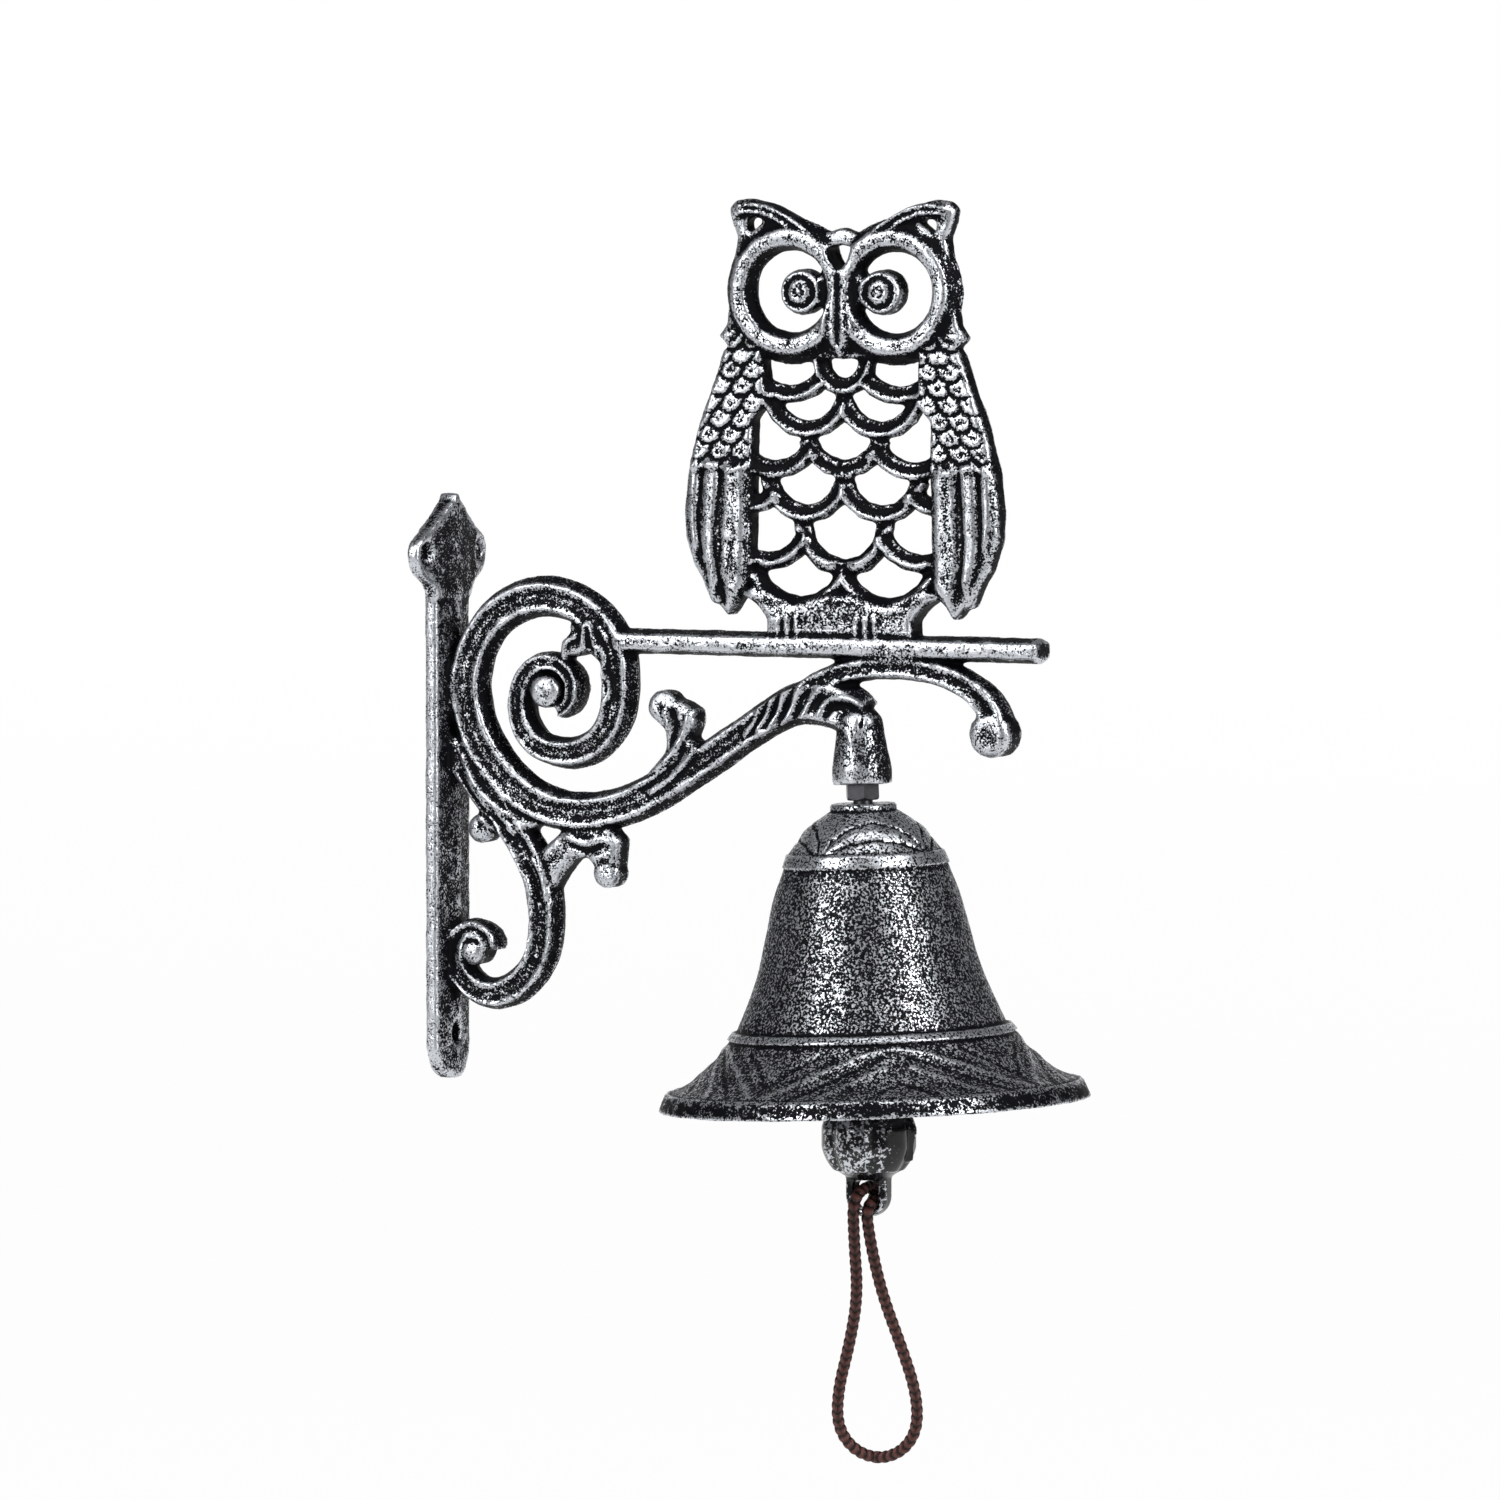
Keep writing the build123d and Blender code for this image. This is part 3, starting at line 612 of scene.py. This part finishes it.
# Extra silver on the bell's crown is a painted highlight on the upward-facing top
CROWN_HIGHLIGHT = 0.14
RIM_WEAR = -0.26
STREAK_WEAR = 0.7
STREAK_DEPTH = 0.12
STREAK_NOISE = (1.9, 1.9, 0.1)
BELL_FINE_GRAIN = (0.03, 1.2)
BELL_COARSE_GRAIN = (0.16, 6.0)
BELL_REPEATS = 4
BELL_FACE = math.radians(-56.0)  # where the middle of one unit of the ornament stands
INSIDE_GAP = 2.0  # ornament stays on the outside, nearer than this to the bell's side
WAIST_DEPTH = 30
FLARE_SLANT = 2.3  # run of the bell's side for each millimetre of depth, below the waist and above it
CROWN_SLANT = 1.5
BELL_LINES = [  # height, half width, then (degrees from the unit's middle, depth) along the line
    (0.32, 1.5, [(-1, 60.6), (-12, 61.8), (-26, 65.5), (-42, 71.2)]),
    (0.32, 1.5, [(1, 60.6), (12, 61.8), (26, 65.5), (42, 71.2)]),
    (-0.28, 0.8, [(-5, 62.6), (-14, 64.8), (-27, 69.2), (-34, 71.6)]),
    (-0.28, 0.8, [(5, 62.6), (14, 64.8), (27, 69.2), (34, 71.6)]),
    (0.28, 1.3, [(-5, 65.0), (-14, 67.6), (-24, 71.4)]),
    (0.28, 1.3, [(5, 65.0), (14, 67.6), (24, 71.4)]),
    (-0.25, 0.7, [(-9, 71.4), (0, 68.6), (9, 71.4)]),
    (-0.25, 0.8, [(-44.9, 69.0), (-37, 64.6), (-28, 61.6)]),
    (-0.25, 0.8, [(44.9, 69.0), (37, 64.6), (28, 61.6)]),
    (-0.45, 0.4, [(-43, 12.2), (-38, 8.8), (-27, 6.2), (0, 4.2), (27, 6.2), (38, 8.8), (43, 12.2)]),
    (-0.45, 0.4, [(-40, 12.2), (-22, 9.7), (0, 8.7), (22, 9.7), (40, 12.2)]),
    (0.2, 1.3, [(-41, 12.2), (-34, 9.6), (-20, 7.4), (0, 6.4), (20, 7.4), (34, 9.6), (41, 12.2)]),
]


def curved(points, spacing):
    """Points at an even spacing on a smooth line through the given ones."""
    points = np.array(points, float)
    padded = np.vstack([2 * points[0] - points[1], points, 2 * points[-1] - points[-2]])
    fine = []
    for before, start, end, after in zip(padded, padded[1:], padded[2:], padded[3:]):
        bend = 2 * before - 5 * start + 4 * end - after
        twist = 3 * start - before - 3 * end + after
        for t in np.linspace(0, 1, CURVE_PARTS, endpoint=False):
            fine.append(0.5 * (2 * start + (end - before) * t + bend * t ** 2 + twist * t ** 3))
    fine = np.array(fine + [points[-1]])
    steps = np.r_[0, np.cumsum(np.linalg.norm(np.diff(fine, axis=0), axis=1))]
    marks = np.linspace(0, steps[-1], max(2, int(steps[-1] / spacing) + 1))
    return np.stack([np.interp(marks, steps, fine[:, k]) for k in range(2)], axis=1)


def straight(points, spacing):
    """Points at about an even spacing on the straight runs between the given ones."""
    rows = []
    for start, end in zip(points, points[1:]):
        count = max(1, int(round(math.dist(start, end) / spacing)))
        run = np.array(end) - np.array(start)
        rows += [tuple(np.array(start) + run * k / count) for k in range(count)]
    return np.array(rows + [points[-1]])


def hang_matrix():
    """Turns and moves a shape made about its own upright axis to where the bell hangs."""
    lean = Matrix.Rotation(-HANG_TILT, 4, "Y")
    return Matrix.Translation(Vector(HANG_POINT) * MM) @ lean


def side_radius(depth):
    """The bell's outside radius at a depth, without its bands."""
    radii, depths = zip(*BELL_SIDE)
    return np.interp(depth, depths, radii)


def bell_relief(spots):
    """How far the bell's ornament stands out: leaf ribs on the flare and arches on the crown."""
    unit = math.tau / BELL_REPEATS
    turn = np.arctan2(spots[:, 1], spots[:, 0]) - BELL_FACE
    turn = (turn + unit / 2) % unit - unit / 2
    depth = -spots[:, 2]
    relief = np.zeros(len(spots))
    for height, width, line in BELL_LINES:
        middle = side_radius(np.mean([down for angle, down in line]))
        slant = FLARE_SLANT if line[0][1] > WAIST_DEPTH else CROWN_SLANT
        route = [(math.radians(angle) * middle, down * slant) for angle, down in line]
        relief += height * ridge(line_distance(turn * middle, depth * slant, route), width)
    inward = side_radius(depth) - np.hypot(spots[:, 0], spots[:, 1])
    return np.where(inward > INSIDE_GAP, 0, relief)


def bell_body():
    """A bmesh of the bell turned about its own axis, its cap at nought."""
    outline = []
    for row, points in enumerate(BELL_OUTSIDE):
        outline += list((curved if row in CURVED_ROWS else straight)(points, OUTSIDE_STEP))[:-1]
    outline += list(curved(BELL_INSIDE[:-1], INSIDE_STEP)) + [BELL_INSIDE[-1], BELL_OUTSIDE[0][0]]
    bm = bmesh.new()
    verts = [bm.verts.new((radius * MM, 0, -depth * MM)) for radius, depth in outline]
    edges = [bm.edges.new(pair) for pair in zip(verts, verts[1:])]
    bmesh.ops.spin(bm, geom=verts + edges, cent=(0, 0, 0), axis=(0, 0, 1), dvec=(0, 0, 0),
                   angle=math.tau, steps=BELL_TURNS, use_merge=True, use_duplicate=False)
    bmesh.ops.remove_doubles(bm, verts=bm.verts, dist=1e-6)
    bmesh.ops.recalc_face_normals(bm, faces=bm.faces)
    return bm


def make_bell():
    """The bell with its ornament, its cast grain and the upright brush streaks on its rim."""
    bell = add_mesh("bell_cast", bell_body())
    mesh = bell.data
    spots = places(mesh)
    normals = facing(mesh)
    relief = bell_relief(spots)
    place(mesh, spots + normals * relief[:, None])
    on_rim, on_crown = spots[:, 2] < RIM_TOP, spots[:, 2] > CROWN_END
    streaks = np.array([noise.noise(spot) for spot in spots * STREAK_NOISE]) * on_rim
    # The crown term is a painted highlight; the streaks and the duller rim are wear of the paint
    extra = STREAK_WEAR * streaks + RIM_WEAR * on_rim + CROWN_HIGHLIGHT * on_crown
    mark_wear_and_light(mesh, extra, edge=0.4, form=5.0, most=0.74)
    uneven = cast_grain(spots, BELL_FINE_GRAIN, BELL_COARSE_GRAIN, 1)
    rough = relief + uneven + STREAK_DEPTH * streaks
    place(mesh, spots + normals * rough[:, None])
    mesh.transform(hang_matrix())
    dress(bell, MATERIALS["bell"])
    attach(bell, "bracket")
    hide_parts("bell")


# Clapper: heights up its ball are shares of the ball's radius, from the ball's middle

CLAPPER_VOXEL = 0.32
CLAPPER_EYE_Z = -70.0
BALL_Z = -86.5
BALL_RADIUS = 12.1
BALL_TOP = 1.02
BALL_FULLNESS = 1.04
LOBES_START = -0.7
LUG_TOP = -0.75
LOBES = 6
GROOVE_TURN = math.radians(-59.0)
GROOVE_DEPTH = 0.09
GROOVE_WIDTH = 0.17
FLASH_TURN = math.radians(7.0)
FLASH_SPAN = (-0.5, 0.4)
FLASH_HEIGHT = 1.5
FLASH_WIDTH = 0.06
FLASH_NICKS = 9
# Painted highlight: extra silver on the side of the ball towards the left lamp, and painted shade as less
# silver round the rest
BALL_HIGHLIGHT_TURN = math.radians(-93.0)
BALL_HIGHLIGHT_EDGE = 0.5  # cosine of the turn at which the painted highlight adds no silver and takes none away
BALL_HIGHLIGHT = 1.1
LUG_WEAR = -0.1


def make_clapper():
    """The clapper, its ball drawn into lobes, with a ragged flash of the mould along one side."""
    clapper = cast_skin("clapper_cast", merged_node("clapper"), CLAPPER_VOXEL)
    mesh = clapper.data
    pairs = neighbours(mesh)
    spots = eased(places(mesh), pairs, 3)
    out = spots[:, :2] - (PIVOT_X, 0)
    reach = np.maximum(np.linalg.norm(out, axis=1), 0.01)
    turn = np.arctan2(out[:, 1], out[:, 0])
    up = (spots[:, 2] - BALL_Z) / BALL_RADIUS
    body = (spots[:, 2] < CLAPPER_EYE_Z) & (np.abs(up) < BALL_TOP)
    unit = math.tau / LOBES
    grooved = (turn - GROOVE_TURN + unit / 2) % unit - unit / 2
    on_flash = (up > FLASH_SPAN[0]) & (up < FLASH_SPAN[1])
    flash = ridge(turn - FLASH_TURN, FLASH_WIDTH) * on_flash * (0.75 + 0.35 * np.sin(FLASH_NICKS * up))
    ball = BALL_RADIUS * np.sqrt(np.clip(BALL_FULLNESS - up ** 2, 0.02, 1))
    lobed = ball * (1 - GROOVE_DEPTH * ridge(grooved, GROOVE_WIDTH)) + FLASH_HEIGHT * flash
    share = np.clip((BALL_TOP - np.abs(up)) / 0.25, 0, 1) * body * (up >= LOBES_START)
    spots[:, :2] += out / reach[:, None] * ((lobed - reach) * share)[:, None]
    place(mesh, eased(spots, pairs, 2))
    lug = up < LUG_TOP
    # Painted highlight on the ball's side towards the left lamp and painted shade on its far side, as more or
    # less silver
    bright = BALL_HIGHLIGHT * (np.cos(turn - BALL_HIGHLIGHT_TURN) - BALL_HIGHLIGHT_EDGE) * body * ~lug
    mark_wear_and_light(mesh, bright + LUG_WEAR * lug)
    dress(clapper, MATERIALS["clapper"])
    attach(clapper, "clapper")
    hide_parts("clapper")


# Bracket casting: ribs and grooves on its two faces as height, half width and (x, z) points

MAIN_SCROLL = [
    (96, 20.5), (87, 15), (77, 8.5), (66, 2), (54, -3.6), (41, -5.9), (29, -3.6), (18.5, 4),
    (11, 15), (8.7, 27), (11.8, 38), (19.5, 46.3), (31, 49.7), (42, 46.8), (49.6, 39.5), (52, 28),
    (50.4, 18), (44.5, 11.3), (36, 9.4), (28, 12), (24, 18.5), (24.2, 25.8), (28, 31.6), (33.5, 32.8),
]
ARCH = [(108, 28.5), (117, 32.2), (130, 33.6), (143, 32.4), (152.5, 28.4)]
LOWER_ARM = [(17.5, -4.5), (23.5, -13), (28.8, -22.5), (30.5, -33), (29.2, -43), (23, -51), (14.5, -53.5),
             (7.5, -49.5), (5.4, -42.5)]
BRACKET_LINES = [
    (0.4, 1.0, MAIN_SCROLL), (0.35, 0.9, ARCH), (0.4, 0.9, LOWER_ARM),
    # pointed leaves inside the ring
    (0.8, 0.55, [(43.0, 37.2), (43.3, 41), (44.5, 43.4), (45.9, 41), (46.5, 37.2)]),
    (0.8, 0.55, [(46.9, 32), (46.9, 35.5), (48, 37.2), (49.4, 34.6), (49.0, 31.0), (47.8, 29.6)]),
    (0.8, 0.55, [(47.2, 25.6), (48.2, 28.8), (49.6, 29.9), (50.7, 28), (50.6, 24.8), (49.2, 22.8)]),
    (0.8, 0.6, [(37.4, 33.8), (37.2, 36.2), (38.6, 38.6), (41.0, 39.8)]),
    # slashes of the leaf on the arm's thick end
    (0.8, 0.6, [(89.5, 15.6), (92.5, 19.5), (94, 23.2)]),
    (0.8, 0.6, [(93, 17.2), (96, 21.5), (97.4, 26)]),
    (0.8, 0.6, [(97.0, 18.4), (99.6, 23.5), (101.4, 28.2)]),
    (0.8, 0.6, [(101.2, 19.2), (103.4, 24.5), (106, 29.6)]),
    (0.8, 0.6, [(105.6, 19.4), (107.4, 23.8), (110.6, 27.6)]),
    (-0.6, 0.6, [(91.2, 16), (94.2, 20.2), (95.6, 24.4)]),
    (-0.6, 0.6, [(95, 17.6), (97.8, 22.5), (99.4, 27.2)]),
    (-0.6, 0.6, [(99.2, 18.6), (101.6, 24), (103.6, 29)]),
    (-0.6, 0.6, [(103.4, 19.2), (105.4, 24.2), (108.6, 28.8)]),
    # leaf where the bud leaves the arm
    (0.7, 0.6, [(58, 1.5), (63, 5.5), (67.5, 9), (70.5, 13)]),
    (-0.6, 0.6, [(60, 0.6), (65.5, 4.6), (70.5, 8.4), (72, 12)]),
    (0.7, 0.6, [(62.5, 0.2), (68, 3.8), (73.6, 9), (75, 12)]),
    (0.6, 0.6, [(66, 14), (67.6, 18), (66.6, 21)]), (-0.5, 0.6, [(68.4, 13), (70, 17.4), (69, 21.4)]),
    (0.6, 0.6, [(70.6, 12.5), (72.4, 16.6), (73.4, 20.6)]),
    # leaves at the foot of the ring and on the lower arm
    (0.7, 0.6, [(8.4, 8), (11.5, 1.5), (16, -3.4), (22, -7)]),
    (-0.6, 0.6, [(7.2, 4), (10.2, -1.2), (15, -6), (20.4, -9.8)]),
    (0.7, 0.6, [(6.6, 0), (10, -4.4), (14, -8.4), (18.8, -12)]),
    (0.7, 0.5, [(25, -21), (27.4, -25), (28.4, -30)]),
    (-0.6, 0.5, [(26.6, -19.4), (29, -23.6), (30.2, -28.6)]),
    (0.7, 0.5, [(28.4, -18), (31, -22.4), (32.2, -27.6)]),
    (0.7, 0.6, [(38.5, -12), (43.5, -13.6), (47.5, -12.4), (51, -12.8)]),
    (-0.6, 0.5, [(40, -14.2), (44.6, -15.4), (48.4, -14.2)]),
    (0.6, 0.5, [(42, -16.6), (46, -17.4), (50, -16.4)]),
    # leaf lip round the top of the boss
    (0.9, 0.7, [(110.6, 21.5), (112.4, 24.6), (117, 25.8), (121.6, 24.8), (125, 22.4), (124.8, 19.4)]),
    (-0.7, 0.6, [(112.2, 20.4), (114.4, 23), (118.4, 23.6), (122.4, 21.6), (122.6, 18.6)]),
    (0.5, 0.6, [(113, 17.5), (116, 18.6), (119, 17.4), (120.6, 14.6)]),
    # toes on the foot block
    (0.3, 0.6, [(98.2, 41.2), (98.8, 45.6)]), (0.3, 0.6, [(101.2, 41.2), (101.4, 46)]),
    (0.3, 0.6, [(104.2, 41.2), (103.8, 45.8)]), (-0.4, 0.5, [(99.7, 40.8), (100, 44.6)]),
    (-0.4, 0.5, [(102.7, 40.8), (102.7, 44.8)]),
    (0.3, 0.6, [(120.4, 41.2), (120.8, 45.8)]), (0.3, 0.6, [(123.4, 41.2), (123.4, 46)]),
    (0.3, 0.6, [(126.4, 41.2), (126, 45.6)]), (-0.4, 0.5, [(121.9, 40.8), (122, 44.8)]),
    (-0.4, 0.5, [(124.9, 40.8), (124.8, 44.6)]),
]
OWL_LINES = [  # the same, from the owl's middle line, for both of its sides
    (-0.5, 0.5, [(33.6, 83), (35.0, 66), (33.9, 54)]), (-0.5, 0.5, [(38.8, 82.6), (40.0, 70), (38.8, 62)]),
    (0.5, 0.6, [(25.4, 84.6), (31, 83.4), (37, 84.8), (42.6, 83.2)]),
    (0.6, 0.6, [(3.0, 131), (3.4, 125), (4.0, 119.5)]), (-0.6, 0.7, [(0, 133), (0, 126), (0, 116)]),
    (0.5, 0.6, [(30.6, 118), (33.6, 117.4)]),
]
EYE_RINGS = [  # height, half width and radius of ridges and grooves round each pupil
    (0.4, 0.6, 5.1), (-0.3, 0.6, 3.9), (0.3, 0.5, 2.4), (-0.2, 0.5, 1.1),
]
PUPIL = (11.2, 128.9)
BREAST_SCALES = [  # middle, lowest point, half width and rise of each scale's middle line
    (0, 104.6, 6.5, 7.0), (15.5, 102.6, 9.5, 4.2), (10.2, 93.6, 10.6, 8.0), (0, 83.0, 10.6, 7.2),
    (19.6, 83.0, 10.4, 6.0), (10.6, 72.2, 10.8, 8.8), (24.6, 74.6, 4.8, 3.6), (0, 60.4, 11.8, 9.0),
    (21.6, 60.4, 10.6, 6.8), (12.4, 51.4, 13.2, 7.6),
]
SCALLOP_ROWS = [(86.6, 0.0), (90.4, 3.1), (94.4, 0.0), (98.4, 3.1), (102.6, 0.0), (106.8, 3.1), (111.0, 0.0),
                (114.8, 3.1), (118.6, 0.0)]
SCALLOP_STEP = 6.2
SCALLOP_COUNTS = range(3, 8)
SCALLOP_RADIUS = 3.6
SCALLOP_SPAN = (84, 118)
WING_EDGE = [  # height, and distance from the owl's middle line
    (84, 25.5), (96, 25.5), (100, 21.6), (114, 22.5),
]
BREAST_LIP = (0.45, 1.1, 0.6)  # height, distance outside each scale's middle line and half width
BREAST_HOLLOW = (-1.0, -1.0, 1.3)
BREAST_REACH = 3.2
BRACKET_VOXEL = 0.5775
FLAT_END = 5.6  # the plate is plain up to this distance from the wall
WALL_SKIN = 0.4
SPLIT_HEIGHT = 43.0  # the casting is shown as two pieces, parted here
PLATE_END = 8
BREAST_SPAN = (49, 113)
FACE_TURN = 0.76  # how far a face turns to the front or back to be neither more nor less worn
FACE_WEAR = 0.5
PLATE_WEAR = 0.3
# Less silver on the owl's breast is painted shade over the scales
BREAST_SHADE = -0.27
HEAD_WEAR = -0.08
BRACKET_FINE_GRAIN = (0.10, 1.5)
BRACKET_COARSE_GRAIN = (0.2, 5.0)


def wing_inner_edge(height):
    """Where each wing starts, across from the owl's middle line."""
    heights, distances = zip(*WING_EDGE)
    return np.interp(height, heights, distances)


def breast_relief(across, height):
    """A bright lip along the lower edge of each breast scale, over a hollow that falls away above it."""
    relief = np.zeros(len(across))
    for middle, lowest, half_width, rise in BREAST_SCALES:
        radius = (half_width ** 2 + rise ** 2) / (2 * rise)
        reach = math.atan2(half_width, radius - rise)
        side, down = across - middle, lowest + radius - height
        on_arc = np.abs(np.arctan2(side, down)) < reach
        out = np.hypot(side, down) - radius
        lip = sum(tall * ridge(out - outside, width) for tall, outside, width in (BREAST_LIP, BREAST_HOLLOW))
        relief = np.where(on_arc & (np.abs(out) < BREAST_REACH), lip, relief)
    return np.where(across < wing_inner_edge(height), relief, 0)


def wing_scallops(across, height):
    """Small feathers overlapping downwards on the upper part of each wing."""
    relief = np.zeros(len(across))
    for level, shift in SCALLOP_ROWS:
        for count in SCALLOP_COUNTS:
            middle = count * SCALLOP_STEP + shift
            drop = level - height
            apart = np.hypot(across - middle, drop * 0.85)
            lower = drop > 0.6
            lip = 0.15 + 0.24 * ridge(apart - 3.2, 0.5) * lower
            relief = np.where(apart < SCALLOP_RADIUS, lip, relief)
            below = (apart >= SCALLOP_RADIUS) & (apart < SCALLOP_RADIUS + 0.8) & lower
            relief = np.where(below, -0.22, relief)
    on_wing = (height > SCALLOP_SPAN[0]) & (height < SCALLOP_SPAN[1]) & (across > wing_inner_edge(height))
    return np.where(on_wing, relief, 0)


def bracket_relief(spots):
    """How far the carving of the scrolls, the arm and the owl stands out at each place."""
    x, z = spots[:, 0], spots[:, 2]
    relief = np.zeros(len(spots))
    for height, width, line in BRACKET_LINES:
        route = curved(line, 1.0)
        low, high = route.min(axis=0) - 3 * width, route.max(axis=0) + 3 * width
        near = (x > low[0]) & (x < high[0]) & (z > low[1]) & (z < high[1])
        apart = line_distance(x[near], z[near], route)
        relief[near] += height * ridge(apart, width)
    across = np.abs(x - OWL_X)
    for height, width, line in OWL_LINES:
        relief += height * ridge(line_distance(across, z, curved(line, 1.0)), width)
    round_pupil = np.hypot(across - PUPIL[0], z - PUPIL[1])
    for height, width, radius in EYE_RINGS:
        relief += height * ridge(round_pupil - radius, width)
    return relief + wing_scallops(across, z) + breast_relief(across, z)


def keep_part(mesh, above):
    """Cuts a mesh at the split height, closes the cut and keeps what is above or below it."""
    bm = bmesh.new()
    bm.from_mesh(mesh)
    cut = bmesh.ops.bisect_plane(bm, geom=bm.verts[:] + bm.edges[:] + bm.faces[:],
                                 plane_co=(0, 0, SPLIT_HEIGHT * MM), plane_no=(0, 0, 1),
                                 clear_inner=above, clear_outer=not above)
    rim = [edge for edge in cut["geom_cut"] if isinstance(edge, bmesh.types.BMEdge)]
    bmesh.ops.triangle_fill(bm, edges=rim, use_beauty=False)
    bm.to_mesh(mesh)
    bm.free()


def make_bracket():
    """The openwork casting with its carving, grain and wear, and painted shade on the owl's breast, in two
    pieces.
    """
    bracket = cast_skin("bracket_lower", merged_node("bracket_casting"), BRACKET_VOXEL)
    mesh = bracket.data
    place(mesh, eased(places(mesh), neighbours(mesh), 3))
    spots = places(mesh)
    normals = facing(mesh)
    front = np.clip(np.abs(normals[:, 1]) * 1.6 - 0.5, 0, 1) * (spots[:, 0] > FLAT_END)
    spots[:, 1] += np.sign(spots[:, 1]) * bracket_relief(spots) * front
    uneven = cast_grain(spots, BRACKET_FINE_GRAIN, BRACKET_COARSE_GRAIN, 3)
    spots = spots + normals * uneven[:, None]
    back = spots[:, 0] < WALL_SKIN
    spots[back, 0] = np.maximum(spots[back, 0], 0)
    place(mesh, spots)
    on_plate = (spots[:, 0] < PLATE_END) * np.clip(normals[:, 0], 0, 1)
    across, height = np.abs(spots[:, 0] - OWL_X), spots[:, 2]
    on_head = height > BREAST_SPAN[1]
    between_wings = across < wing_inner_edge(height) + 0.5
    on_breast = between_wings & (height > BREAST_SPAN[0]) & (height < BREAST_SPAN[1])
    on_face = np.abs(normals[:, 1]) - FACE_TURN
    # The breast term is painted shade; the face, plate and head terms are more or less wear of the paint
    extra = FACE_WEAR * on_face + PLATE_WEAR * on_plate + BREAST_SHADE * on_breast + HEAD_WEAR * on_head
    mark_wear_and_light(mesh, extra, edge=0.24, form=3.5, most=0.92)
    dress(bracket, MATERIALS["bracket"])
    owl = bpy.data.objects.new("bracket_owl", mesh.copy())
    bpy.context.scene.collection.objects.link(owl)
    for piece, above in ((bracket, False), (owl, True)):
        keep_part(piece.data, above)
        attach(piece, "bracket")
    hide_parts("bracket_casting")
    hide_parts("bracket_casting")


bpy.context.scene.view_settings.view_transform = "Standard"
make_world()
place_camera()
for lamp in LAMPS:
    add_lamp(*lamp)
make_floor()
GROUPS = {"sand_grain": sand_grain_group(), "dry_brush": dry_brush_group()}
MATERIALS = {
    "bracket": iron_material("bracket_iron", cover=-0.07, speckle=1900.0, depth=0.09),
    "bell": iron_material("bell_iron", cover=0.072, speckle=1600.0, depth=0.06, patches=0.2),
    "clapper": iron_material("clapper_iron", cover=-0.34, speckle=1100.0, depth=0.03, patches=0.5,
                             rough=0.17, shine=0.4),
    "nut": steel_material("nut_steel", STEEL_GRAY, rough=0.35),
    "link": steel_material("link_wire", WIRE_GRAY, rough=0.4),
    "cord": cord_material(),
}
make_cord()
for name in ("lock_nut", "bell_nut", "bell_washer", "eye_bolt"):
    dress(nodes[name], MATERIALS["nut"])
dress(nodes["clapper_link"], MATERIALS["link"])
make_bell()
make_clapper()
make_bracket()
